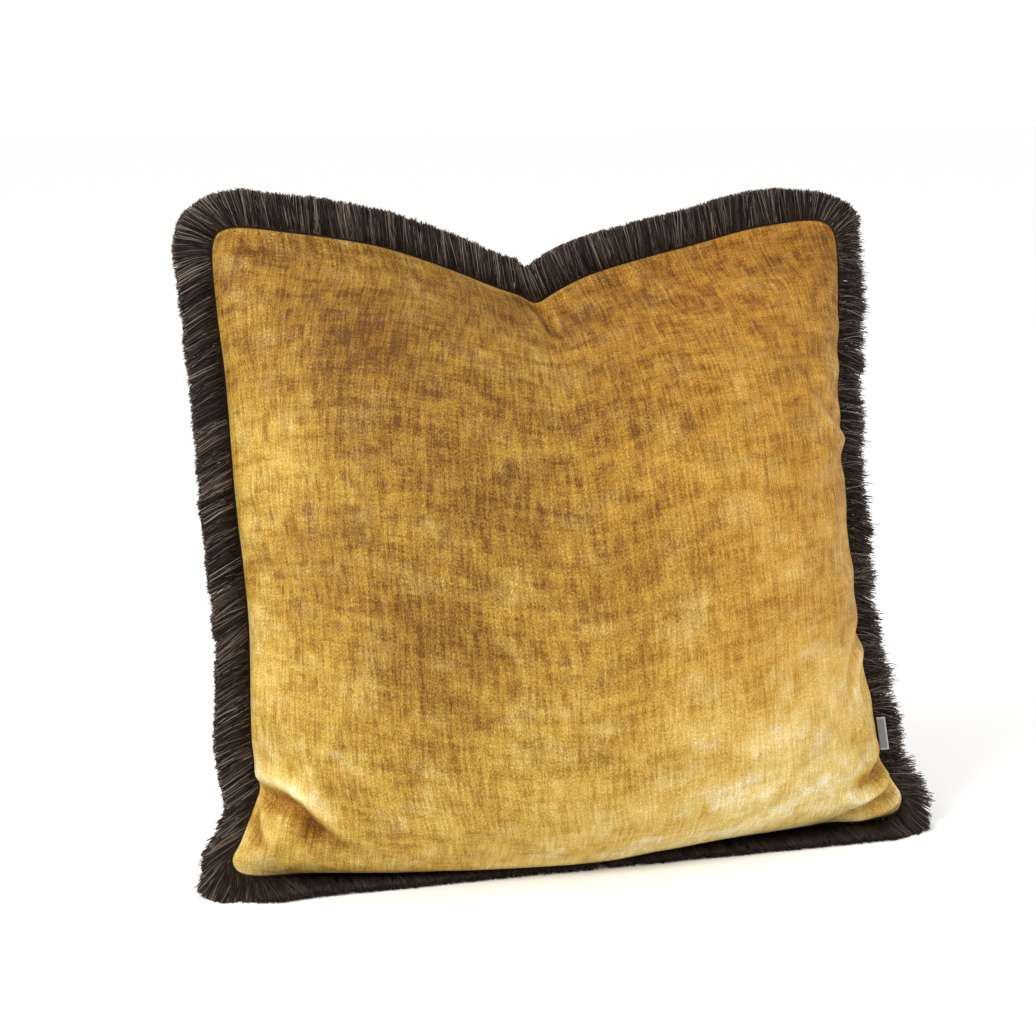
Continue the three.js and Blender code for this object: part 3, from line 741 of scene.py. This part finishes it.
def fold_height(u, v, path, *sizes):
    """How far one fold moves each point of a panel: a groove along the path with a lip beside it."""
    width, depth, lip = (size * MM for size in sizes)
    line = spline_open(np.array(path), 12) * COVER_FLAT
    place = np.stack([u, v], -1).reshape(-1, 1, 2) * COVER_FLAT
    step = line[1:] - line[:-1]
    share = ((place - line[:-1]) * step).sum(-1) / (step**2).sum(-1)
    offset = place - line[:-1] - np.clip(share, 0, 1)[..., None] * step
    distance = np.linalg.norm(offset, axis=-1)
    nearest = distance.argmin(1)
    rows = np.arange(len(place))
    side = np.sign(step[nearest, 0] * offset[rows, nearest, 1] - step[nearest, 1] * offset[rows, nearest, 0])
    across = side * distance[rows, nearest] / width
    along = (nearest + np.clip(share[rows, nearest], 0, 1)) / len(step)
    fade = smoothstep((1 - along) / 0.45) * smoothstep(0.5 + along / 0.2)
    height = lip * np.exp(-((across - 1.3) ** 2)) - depth * np.exp(-((across + 0.3) ** 2) * 1.6)
    return (fade * height).reshape(u.shape)


def spline_open(points, steps):
    """An open line near the points, with its corners rounded by averaging neighbours."""
    fine = at_shares(points, np.linspace(0, 1, 4 * steps + 1))
    for _ in range(steps):
        fine[1:-1] += 0.5 * ((fine[2:] + fine[:-2]) / 2 - fine[1:-1])
    return fine


def wander(places, spacing, rng):
    """Smooth random numbers along a line, with a new value every spacing."""
    knots = rng.normal(0, 1, int(np.max(places) / spacing) + 3)
    at = places / spacing
    low = np.floor(at).astype(int)
    mix = smoothstep(at - low)
    return knots[low] * (1 - mix) + knots[low + 1] * mix


PUCKER_DEPTH = 1.3 * MM
PUCKER_REACH = 0.055  # share of the panel over which the puckers beside a seam die out
PUCKER_SPACING = 0.036


def puckers(u, v, rng):
    """Small gathers that run in from the two side seams and the top."""
    height = np.zeros(u.shape)
    for place, inward in ((v, u), (v, 1 - u), (u, 1 - v)):
        wave = wander(place + 0.5 * inward, PUCKER_SPACING, rng)
        height += PUCKER_DEPTH * wave * (inward / PUCKER_REACH) * np.exp(1 - inward / PUCKER_REACH)
    return height


BELLY = (0.36, 0.26, 0.040, 0.035)  # middle and half width, across and up, in shares of the front
BELLY_DEPTH = 4.5 * MM


def belly(u, v):
    """The front's lowest part hangs down towards the floor, left of the middle."""
    middle_u, half_u, middle_v, half_v = BELLY
    return BELLY_DEPTH * np.exp(-(((u - middle_u) / half_u) ** 4) - ((v - middle_v) / half_v) ** 2)


SIM_DETAIL = 2.5  # how strongly the simulated wrinkles show
BROAD_ROUNDS = 80  # rounds of smoothing after which only the simulation's broad change is left
FIXED_RIM = 0.012  # share of the panel over which its folds die out towards the seam
DETAIL_CAP = 5 * MM
FLOOR_CLEARANCE = 0.4 * MM


def folded(steps, folds):
    """How far all the folds together move each point of a grid."""
    u, v = unit_grid(steps)
    return sum(fold_height(u, v, *fold) for fold in folds)


def raised(base, height, side):
    """A surface with each point moved outwards by its height, less at the border."""
    u, v = unit_grid(len(base) - 1)
    edge = np.minimum(np.minimum(u, 1 - u), np.minimum(v, 1 - v))
    points = base + (height * smoothstep(edge / FIXED_RIM))[..., None] * side * grid_normals(base)
    points[..., 2] = np.maximum(points[..., 2], FLOOR_CLEARANCE)
    return points


def wrinkles(base, simulated, side):
    """The small wrinkles that the simulation made, as heights."""
    change = simulated - base
    detail = ((change - relaxed(change, BROAD_ROUNDS)) * side * grid_normals(base)).sum(-1)
    return np.clip(SIM_DETAIL * detail, -DETAIL_CAP, DETAIL_CAP)


PANEL_THICK = 1.1 * MM


def cloth_places(u, v):
    """Where each point of a panel lies on the flat cloth, in metres."""
    return np.stack([u * COVER_FLAT, v * COVER_FLAT, np.zeros(u.shape)], -1).reshape(-1, 3)


def velvet_panel(node, points, lay_and_light, warm, outward):
    count = len(points)
    mesh = new_mesh(node, points, grid_faces(count, count, outward))
    u, v = unit_grid(count - 1)
    # Painted highlight along the panel's border.
    lay_and_light[:, [0, -1]] += RIM_HIGHLIGHT
    lay_and_light[[0, -1]] += RIM_HIGHLIGHT
    add_numbers(mesh, "cloth", cloth_places(u, v))
    add_numbers(mesh, "lay_and_light", lay_and_light.ravel())
    add_numbers(mesh, "warm", warm.ravel())
    piece = new_piece("velvet_" + node, mesh, VELVET, node)
    thickened(piece, PANEL_THICK, -1)
    smoothed(piece)


rng = np.random.default_rng(SEED)
front_base = panel_surface("front_panel", 1, GRID)
back_base = panel_surface("back_panel", -1, GRID, zipped=True)
simulated = blown_up(front_base, back_base)
sides = (
    ("front_panel", front_base, simulated[0], FRONT_FOLDS, FRONT_LAY_AND_LIGHT, 1),
    ("back_panel", back_base, simulated[1], BACK_FOLDS, BACK_LAY, -1),
)
panels = []
for node, base, shape, folds, zones, side in sides:
    u, v = unit_grid(GRID)
    fold = folded(GRID, folds)
    height = fold + wrinkles(base, shape, side) + puckers(u, v, rng)
    if side > 0:
        height += belly(u, v)
    # Painted shade in the folds' grooves and painted highlight on their lips.
    lay_and_light = lay_and_light_of(u, v, zones) + FOLD_SHADING * fold
    # Painted shade: the grooves are painted warmer and darker.
    warm = warmth_of(u, v) + GROOVE_SHADE_WARMTH * np.maximum(-fold, 0)
    panels.append(raised(base, height, side))
    velvet_panel(node, panels[-1], lay_and_light, warm, side > 0)

# ---- Inner pad ----

PAD_GRID = GRID // 2
CASE_SHARE = 0.955  # the pad's case as a share of the cover's size about its middle
PAD_SEAM_SHARES = (0.948, 0.955)
FILLING_SHARE = 0.938
CASE_THICK = 0.5 * MM
PAD_GAP = 2.2 * MM  # the least distance from the pad to the cover, towards the middle
LUMP_DEPTH = 1.2 * MM
LUMP_SIZE = 0.03


def behind_cover(points, cover):
    """The pad's points, moved towards the middle wherever the cover would come too near them."""
    count = len(cover)
    corners = [Vector(point) for point in cover.reshape(-1, 3)]
    tree = BVHTree.FromPolygons(corners, grid_faces(count, count).tolist())
    offset = points - MIDDLE
    reach = np.linalg.norm(offset, axis=-1)
    room = np.full(reach.shape, FAR)
    for place in np.ndindex(reach.shape):
        hit = tree.ray_cast(Vector(MIDDLE), Vector(offset[place]))[3]
        room[place] = FAR if hit is None else hit
    wide = np.pad(room, 1, mode="edge")
    rows, columns = room.shape
    windows = [wide[i:i + rows, j:j + columns] for i in range(3) for j in range(3)]
    allowed = np.min(windows, axis=0) - PAD_GAP
    return MIDDLE + offset * np.minimum(1, allowed / reach)[..., None]


def pad_case(name, node, points, outward):
    count = len(points)
    mesh = new_mesh(name, points, grid_faces(count, count, outward))
    add_numbers(mesh, "cloth", cloth_places(*unit_grid(count - 1)))
    piece = new_piece(name, mesh, COTTON, node)
    thickened(piece, CASE_THICK, -1)
    smoothed(piece)


def lumps(points, rng):
    """Soft dents, all inwards, in a body of loose filling."""
    depth = np.zeros(len(points))
    for _ in range(6):
        wave = unit(rng.normal(0, 1, 3)) * 2 * math.pi / (LUMP_SIZE * rng.uniform(0.8, 1.6))
        depth += np.sin(points @ wave + rng.uniform(0, 2 * math.pi)) / 6
    return LUMP_DEPTH * (0.5 + 0.5 * depth)


def pad_filling(front, back, rng):
    shrunk = [MIDDLE + FILLING_SHARE / CASE_SHARE * (points - MIDDLE) for points in (front, back)]
    points, used, faces = closed_cover(*shrunk)
    points = points[used]
    points += lumps(points, rng)[:, None] * unit(MIDDLE - points)
    mesh = new_mesh("pad_filling", points, faces)
    piece = new_piece("loose_filling", mesh, FILLING, "pad_filling")
    smoothed(piece)


pad_front = behind_cover(panel_surface("pad_case_front", 1, PAD_GRID, shrink=CASE_SHARE), panels[0])
pad_back = behind_cover(panel_surface("pad_case_back", -1, PAD_GRID, shrink=CASE_SHARE), panels[1])
pad_case("pad_case_front_cloth", "pad_case_front", pad_front, True)
pad_case("pad_case_back_cloth", "pad_case_back", pad_back, False)
pad_filling(pad_front, pad_back, rng)

# ---- Seams: the fringe's heading tape, the pad's seam and the stitches ----

HEADING_SHARES = (0.990, 0.998, 1.007)  # inner edge, body and outer edge, of the seam's outline
HEADING_HALF = 0.55 * MM
PAD_SEAM_HALF = 0.5 * MM
BAND_STEPS = 720
STITCH_PITCH = 3 * MM
STITCH_LENGTH = 2.5 * MM
STITCH_SHARE = 0.985
STITCH_RADIUS = 0.16 * MM
STITCH_OFFSET = 0.2 * MM  # needle thread in front of the seam plane, bobbin thread behind it


def seam_loop():
    """The whole seam as one closed line in the seam plane."""
    return np.concatenate([edge[:-1] for edge in EDGES] + [EDGES[BOTTOM][:1]])


def seam_band(name, shares, half, material, node):
    """A flat band round the seam, with rounded edges, between shares of the seam's outline."""
    inner, body, outer = shares
    section = [
        (outer, 0.5 * half),
        (outer, -0.5 * half),
        (body, -half),
        (inner, -half),
        (inner, half),
        (body, half),
    ]
    flat = at_shares(seam_loop(), np.arange(BAND_STEPS) / BAND_STEPS)
    rings = [from_plane(share * flat) + offset * FRONT for share, offset in section]
    mesh = new_mesh(name, np.stack(rings, 1), wrapped_faces(BAND_STEPS, len(section)))
    along = np.repeat(np.arange(BAND_STEPS) / BAND_STEPS * line_length(seam_loop()), len(section))
    across = np.tile([share * COVER_FLAT / 2 for share, _ in section], BAND_STEPS)
    add_numbers(mesh, "cloth", np.stack([along, across, 0 * along], -1))
    smoothed(new_piece(name, mesh, material, node))


def seam_stitches():
    """Two rows of short stitches, one on each side of the seam plane."""
    loop = seam_loop()
    length = line_length(loop)
    count = round(length / STITCH_PITCH)
    within = np.linspace(-0.5, 0.5, 5) * STITCH_LENGTH / length
    rows = []
    for offset, shift in ((STITCH_OFFSET, 0.0), (-STITCH_OFFSET, 0.5)):
        places = ((np.arange(count) + shift) / count)[:, None] + within
        dip = offset * np.cos(np.linspace(-1.2, 1.2, 5))[None, :, None]
        rows.append(from_plane(STITCH_SHARE * at_shares(loop, places % 1)) + dip * FRONT)
    mesh = tubes("seam_stitches", np.concatenate(rows), STITCH_RADIUS, 6, FRONT)
    new_piece("seam_stitches", mesh, THREAD, "cover_seam_thread")


seam_band("heading_tape", HEADING_SHARES, HEADING_HALF, HEADING_TAPE, "fringe_heading")
pad_seam_shares = (PAD_SEAM_SHARES[0], sum(PAD_SEAM_SHARES) / 2, PAD_SEAM_SHARES[1])
seam_band("pad_joined_seam", pad_seam_shares, PAD_SEAM_HALF, COTTON, "pad_seam")
seam_stitches()

# ---- Labels ----

RIBBON_THICK = 0.2 * MM
RIBBON_FOLD = 0.28 * MM  # half the space between the folded ribbon's two layers
RIBBON_BORDER = 1.3 * MM
BORDER_BLEND = 0.4 * MM
LAYER_STEPS = 14  # points along each of the folded ribbon's two layers
CARE_SHARE = 0.972
CARE_U = (0.04, 0.10)
CARE_V = (0.22, 0.32)


def ribbon(name, points, places, border, material, node):
    """A thin woven piece over a grid of points, with its places on the flat ribbon in metres."""
    rows, columns = points.shape[:2]
    mesh = new_mesh(name, points, grid_faces(rows, columns))
    add_numbers(mesh, "cloth", places.reshape(-1, 3))
    add_numbers(mesh, "border", border.ravel())
    piece = new_piece(name, mesh, material, node)
    thickened(piece, RIBBON_THICK, 0)
    return piece


def side_label():
    """A ribbon folded in two, whose ends are sewn into the right seam."""
    corners = np.unique(np.round(node_points("side_label"), 6), axis=0)
    centre = corners.mean(0) - MIDDLE
    edge = EDGES[RIGHT]
    nearest = np.linalg.norm(edge - [centre @ ACROSS, centre @ UP], axis=1).argmin()
    step = unit(edge[nearest + 1] - edge[nearest - 1])
    upward = step[0] * ACROSS + step[1] * UP
    outward = step[1] * ACROSS - step[0] * UP
    order = np.argsort(corners @ outward)
    half = len(order) // 2
    root, end = corners[order[:half]].mean(0), corners[order[half:]].mean(0)
    reach, along = np.linalg.norm(end - root), unit(end - root)
    lift = unit(np.cross(along, upward))
    half_height = np.ptp(corners @ upward) / 2

    straight = np.linspace(0, reach - RIBBON_FOLD - RIBBON_THICK / 2, LAYER_STEPS)
    turn = np.linspace(math.pi / 2, -math.pi / 2, 9)[1:-1]
    out = np.concatenate([straight, straight[-1] + RIBBON_FOLD * np.cos(turn), straight[::-1]])
    off = RIBBON_FOLD * np.concatenate([np.ones(LAYER_STEPS), np.sin(turn), -np.ones(LAYER_STEPS)])
    travelled = np.concatenate([[0], np.cumsum(np.hypot(np.diff(out), np.diff(off)))])
    rise = np.linspace(-half_height, half_height, 33)
    points = root + out[None, :, None] * along + off[None, :, None] * lift + rise[:, None, None] * upward
    places = np.stack(np.broadcast_arrays(travelled[None], rise[:, None], 0.0), -1)
    near_side = smoothstep((np.abs(rise) - half_height) / BORDER_BLEND + RIBBON_BORDER / BORDER_BLEND)
    near_fold = smoothstep((out - reach) / BORDER_BLEND + RIBBON_BORDER / BORDER_BLEND)
    border = np.maximum(near_side[:, None], near_fold[None])
    piece = ribbon("grey_side_label", points, places, border, RIBBON, "side_label")


def care_label():
    """A satin ribbon inside the cover, sewn into its left seam, between the velvet and the pad."""
    u = np.linspace(*CARE_U, 17)
    v = np.linspace(*CARE_V, 33)
    surface = surface_at(back_base, u, v)
    points = MIDDLE + CARE_SHARE * (surface - MIDDLE)
    across, up = np.meshgrid(u * COVER_FLAT, v * COVER_FLAT)
    ripple = 0.12 * MM * np.sin(2 * math.pi * up / (9 * MM))
    points += ripple[..., None] * unit(points - MIDDLE)
    places = np.stack([across, up, 0 * up], -1)
    border = np.zeros(up.shape)
    piece = ribbon("satin_care_label", points[:, ::-1], places, border, SATIN, "care_label")


def surface_at(surface, u, v):
    """A panel's points at a grid of shares, between its own points."""
    steps = len(surface) - 1
    low_v, low_u = (v * steps).astype(int)[:, None], (u * steps).astype(int)[None]
    mix_v, mix_u = (v * steps)[:, None] - low_v, (u * steps)[None] - low_u
    mix_v, mix_u = mix_v[..., None], mix_u[..., None]
    lower = surface[low_v, low_u] * (1 - mix_u) + surface[low_v, low_u + 1] * mix_u
    upper = surface[low_v + 1, low_u] * (1 - mix_u) + surface[low_v + 1, low_u + 1] * mix_u
    return lower * (1 - mix_v) + upper * mix_v


side_label()
care_label()

# ---- Zip ----

COIL_WIRE = 0.26 * MM  # radius of the nylon
COIL_PITCH = 1.6 * MM
COIL_STEPS = 12
METAL_EDGE = 0.15 * MM


def zip_coil(node, phase):
    """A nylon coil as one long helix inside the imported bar."""
    low, high = (np.array(corner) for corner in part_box(node))
    middle, half = (low + high) / 2, (high - low) / 2 - COIL_WIRE
    turns = int(2 * half[0] / COIL_PITCH)
    angle = np.arange(turns * COIL_STEPS + 1) * 2 * math.pi / COIL_STEPS
    x = middle[0] + np.linspace(-half[0], half[0], len(angle))
    y = middle[1] + half[1] * np.cos(angle + phase)
    z = middle[2] + half[2] * np.sin(angle + phase)
    mesh = tubes(node, np.stack([x, y, z], -1)[None], COIL_WIRE, 6, ACROSS)
    new_piece(node + "_nylon", mesh, NYLON, node)


def dressed(node, material, rounded=0.0):
    """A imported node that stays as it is, with its own material and softer edges."""
    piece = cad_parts[node]
    piece.data.materials.clear()
    piece.data.materials.append(material)
    if rounded:
        edge = piece.modifiers.new("edge", "BEVEL")
        edge.width = rounded
        edge.segments = 2


zip_coil("zip_coil_front", 0.0)
zip_coil("zip_coil_back", math.pi)
for node in ("zip_tape_front", "zip_tape_back"):
    dressed(node, ZIP_TAPE, 0.1 * MM)
for node in ("zip_top_stop_front", "zip_top_stop_back", "zip_bottom_stop", "zip_slider", "zip_pull"):
    dressed(node, BRASS, METAL_EDGE)

# ---- Brush fringe ----

YARN_RADIUS = 0.27 * MM
STRAND_STEPS = 2
CORNER_DENSITY = 2.2  # how many more strands stand at a corner, for each share of its turn
CURL = 0.6 * MM
DROOP = 1.6 * MM  # how far the middle of a level strand is raised, so that its tip hangs
LIGHT_SHARE = 0.16  # share of the strands that are light
FRINGE_LENGTH = 26 * MM  # from inside the heading
SHORTEST, LONGEST = 0.7, 1.06  # the shortest and longest strands, as shares of that
ROOT_HALF = 1.7 * MM  # half the fringe's thickness where it leaves the heading
TIP_HALF = 3.0 * MM
FRINGE_CORNER = 26 * MM  # length of seam, each side of a corner, where the strands fan
CHANGE_LENGTH = 65 * MM  # length of seam, beside a corner, over which the strands' length changes
LEFT_ANGLE = 208  # degrees from +X in the seam plane: the left strands droop by 28
RIGHT_ANGLE = -8
# Each edge's own direction, those that its strands turn towards at its two corners, how far they
# are swept back, and by how much the strands at its corners are longer than the rest.
STRANDS = {
    BOTTOM: {"own": 270, "start": LEFT_ANGLE, "end": 360 + RIGHT_ANGLE, "sweep": 0, "longer": (0.2, 0)},
    RIGHT: {"own": RIGHT_ANGLE, "start": -90, "end": 96, "sweep": 25, "longer": (0, -0.2)},
    TOP: {"own": 96, "start": RIGHT_ANGLE, "end": LEFT_ANGLE, "sweep": 0, "longer": (-0.2, 0)},
    LEFT: {"own": LEFT_ANGLE, "start": 96, "end": 270, "sweep": 0, "longer": (0, 0.2)},
}
DENT_LEAN = 15  # degrees that the top strands lean further left, up to the dent from its right
CLUMP = 1.6 * MM  # strands this close together lean the same way
WANDER = 14 * MM  # the fringe's lie changes over this length
SLAB_ROOT_DROP = 3.2 * MM  # the bottom fringe, pressed on the floor, leaves this far under the seam
SLAB_ROOT_HALF = 3.6 * MM
SLAB_TIP_Z = (2.5 * MM, 2.2 * MM)
SLAB_BACK = 0.4 * MM
PRESSED_SHADE = 0.3  # painted shade under the velvet's overhang: how much darker the pressed strands and their cut ends are


def corner_turn(length, places):
    """How far strands at these places along an edge have turned towards each neighbouring edge."""
    before = 0.5 * (1 - smoothstep(places / FRINGE_CORNER))
    after = 0.5 * (1 - smoothstep((length - places) / FRINGE_CORNER))
    return before, after


def strand_shares(line, count, rng):
    """Where each strand leaves an edge, as shares of it. They stand closer together at the corners."""
    length = line_length(line)
    fan = np.linspace(0, 1, 2001)
    before, after = corner_turn(length, fan * length)
    density = 1 + CORNER_DENSITY * (before + after)
    return np.interp((np.arange(count) + rng.random(count)) / count, np.cumsum(density) / density.sum(), fan)


def strand_angles(edge, shares, before, after):
    """Each strand's direction in the seam plane, in degrees from +X, before it is ruffled."""
    rule = STRANDS[edge]
    angle = rule["own"] + before * (rule["start"] - rule["own"]) + after * (rule["end"] - rule["own"])
    if edge == TOP:
        to_dent = shares / dent_share()
        angle += DENT_LEAN * smoothstep(to_dent * 1.6 - 0.6) * smoothstep((1.06 - to_dent) / 0.08)
    return angle


def strand_lengths(edge, places, length, trim, rag, rng):
    """How long each strand is: ragged, and changed towards the edge's two ends."""
    reach = FRINGE_LENGTH * (1 + rag * (0.4 * trim + 0.6 * rng.normal(0, 1, len(places))))
    reach = np.clip(reach, SHORTEST * FRINGE_LENGTH, LONGEST * FRINGE_LENGTH)
    near_start = 1 - smoothstep(places / CHANGE_LENGTH)
    near_end = 1 - smoothstep((length - places) / CHANGE_LENGTH)
    at_start, at_end = STRANDS[edge]["longer"]
    return reach * (1 + at_start * near_start + at_end * near_end)


def pressed_strands(seam, depth, reach, lean, mess, rng):
    """Root, middle and tip of strands that lie flat on the floor, pointing forwards."""
    count = len(seam)
    root = seam.copy()
    root[:, 1] -= SLAB_BACK * (1 + 0.3 * depth)
    root[:, 2] += depth * SLAB_ROOT_HALF - SLAB_ROOT_DROP
    tip = root.copy()
    sideways = np.radians(mess * (lean + 0.6 * rng.normal(0, 1, count)))
    tip[:, 0] += reach * np.sin(sideways)
    tip[:, 1] -= reach * np.cos(sideways)
    tip[:, 2] = SLAB_TIP_Z[0] + depth * SLAB_TIP_Z[1]
    middle = (root + tip) / 2
    middle[:, 2] += 0.6 * MM * rng.normal(0, 1, count)
    tip[:, 1] += 0.8 * MM * rng.normal(0, 1, count)
    return root, middle, tip


def strand_tones(pressed, lean, rng):
    """How light each strand is, from 0 to 1. A few are much lighter than the rest."""
    count = len(pressed)
    tone = np.clip(rng.beta(2.2, 3.0, count) + 0.06 * lean, 0, 0.8)
    tone = np.where(rng.random(count) < LIGHT_SHARE, rng.uniform(0.72, 1.0, count), tone)
    # Painted shade on the pressed strands under the velvet's overhang.
    return tone * (1 - PRESSED_SHADE * pressed)


def strand_lines(edge, count, mess, rag, rng):
    """Root, middle and tip of each strand of one edge, and how light it is."""
    line = EDGES[edge] * (1 + HEADING_OVERHANG)
    length = line_length(line)
    shares = strand_shares(line, count, rng)
    places = shares * length
    before, after = corner_turn(length, places)
    angle = strand_angles(edge, shares, before, after)
    pressed = smoothstep([1 - before - after, 2 * before - 0.5, 0 * before, 2 * after - 0.5][edge])

    clump = np.floor(places / CLUMP + 0.8 * rng.random(count)).astype(int)
    clumps = clump.max() + 2
    lean, lift, trim = (
        own * rng.normal(0, 1, clumps)[clump] + shared * wander(places, WANDER, rng)
        for own, shared in ((0.6, 0.8), (0.6, 0.6), (0.5, 0.8))
    )
    angle = np.radians(angle + mess * (0.6 * lean + 0.5 * rng.normal(0, 1, count)))
    swept = STRANDS[edge]["sweep"] * (1 - 2 * (before + after))
    sweep = np.radians(swept + mess * (0.45 * lift + 0.4 * rng.normal(0, 1, count)))
    direction = np.cos(angle)[:, None] * ACROSS + np.sin(angle)[:, None] * UP
    direction = np.cos(sweep)[:, None] * direction - np.sin(sweep)[:, None] * FRONT

    depth = rng.uniform(-1, 1, count)
    reach = strand_lengths(edge, places, length, trim, rag, rng)
    seam = from_plane(at_shares(line, shares))
    root = seam + (depth * ROOT_HALF)[:, None] * FRONT
    tip = root + reach[:, None] * direction + (depth * (TIP_HALF - ROOT_HALF))[:, None] * FRONT
    middle = (root + tip) / 2 + rng.normal(0, CURL, (count, 3))
    middle[:, 2] += DROOP * np.abs(np.cos(angle))
    flat = pressed_strands(seam, depth, reach, lean, mess, rng)
    mix = pressed[:, None]
    lines = [loose + mix * (low - loose) for loose, low in zip((root, middle, tip), flat)]
    return lines, strand_tones(pressed, lean, rng)


def strand_mesh(name, lines, tone):
    """Every strand as a closed three-sided yarn along a bent line."""
    root, middle, tip = (points[:, None] for points in lines)
    count, levels = len(root), STRAND_STEPS + 1
    share = np.linspace(0, 1, levels)
    t = share[None, :, None]
    centre = (1 - t) ** 2 * root + 2 * t * (1 - t) * middle + t**2 * tip
    centre[..., 2] = np.maximum(centre[..., 2], YARN_RADIUS)
    mesh = tubes(name, centre, YARN_RADIUS, 3, FRONT + 0.31 * ACROSS)
    add_numbers(mesh, "tone", np.repeat(tone, 3 * levels))
    add_numbers(mesh, "along", np.tile(np.repeat(share, 3), count))
    strand = np.repeat(1.7 * np.arange(count), 3 * levels)
    height = np.tile(np.repeat(30 * share, 3), count)
    add_numbers(mesh, "twist", np.stack([strand, height, np.tile(np.arange(3), count * levels)], -1))
    return mesh


# name: edge, strands, degrees of mess, raggedness of the cut ends
FRINGES = {
    "fringe_bottom": (BOTTOM, 12000, 12, 0.10),
    "fringe_right": (RIGHT, 9000, 14, 0.11),
    "fringe_top": (TOP, 10000, 5, 0.05),
    "fringe_left": (LEFT, 9500, 6, 0.04),
}
for fringe_name, fringe in FRINGES.items():
    mesh = strand_mesh(fringe_name, *strand_lines(*fringe, rng))
    new_piece("brush_" + fringe_name, mesh, YARN, fringe_name)

# ---- Stage, light and camera ----

CAMERA_TARGET = Vector((-0.0379, 0.0, 0.2465))
CAMERA_DISTANCE = 1.8
CAMERA_AZIMUTH = -16.98
CAMERA_ELEVATION = 10.61
SENSOR = 36.0
LENS = 87.57
LIT_POINT = Vector((0, 0, 0.22))  # the lamps face the pillow's middle
FLOOR_HALF = 15.0


def aim(thing, target, azimuth, elevation, distance):
    """Places a camera or lamp at these degrees and this distance from the target, facing it."""
    turn, rise = math.radians(azimuth), math.radians(elevation)
    away = Vector((math.sin(turn) * math.cos(rise), -math.cos(turn) * math.cos(rise), math.sin(rise)))
    thing.location = target + distance * away
    thing.rotation_mode = "QUATERNION"
    thing.rotation_quaternion = (-away).to_track_quat("-Z", "Y")


def make_camera():
    data = bpy.data.cameras.new("camera")
    data.sensor_width = SENSOR
    data.lens = LENS
    data.clip_start = 0.05
    camera = placed("camera", data)
    aim(camera, CAMERA_TARGET, CAMERA_AZIMUTH, CAMERA_ELEVATION, CAMERA_DISTANCE)
    bpy.context.scene.camera = camera


def make_floor():
    corners = FLOOR_HALF * np.array([(-1, -1, 0), (1, -1, 0), (1, 1, 0), (-1, 1, 0)])
    mesh = new_mesh("floor", corners, np.array([[0, 1, 2, 3]]))
    pale = {"Base_Color": (0.93, 0.93, 0.925, 1), "Specular_IOR_Level": 0.1}
    mesh.materials.append(new_material("pale_floor", 0.9, **pale)[0])
    placed("floor", mesh)


def area_light(name, azimuth, elevation, distance, size, watts, colour=(1, 1, 1)):
    data = bpy.data.lights.new(name, "AREA")
    data.shape = "SQUARE"
    data.size = size
    data.energy = watts
    data.color = colour
    aim(placed(name, data), LIT_POINT, azimuth, elevation, distance)


def make_world():
    world = bpy.data.worlds.new("studio")
    world.use_nodes = True
    background = world.node_tree.nodes["Background"]
    background.inputs["Color"].default_value = (1.0, 1.0, 1.0, 1)
    background.inputs["Strength"].default_value = 1.06
    bpy.context.scene.world = world
    bpy.context.scene.view_settings.view_transform = "Standard"


make_camera()
make_floor()
make_world()
area_light("key", -62, 38, 2.6, 1.0, 42, (1.0, 0.97, 0.92))
area_light("fill", 35, 30, 3.0, 2.0, 6)
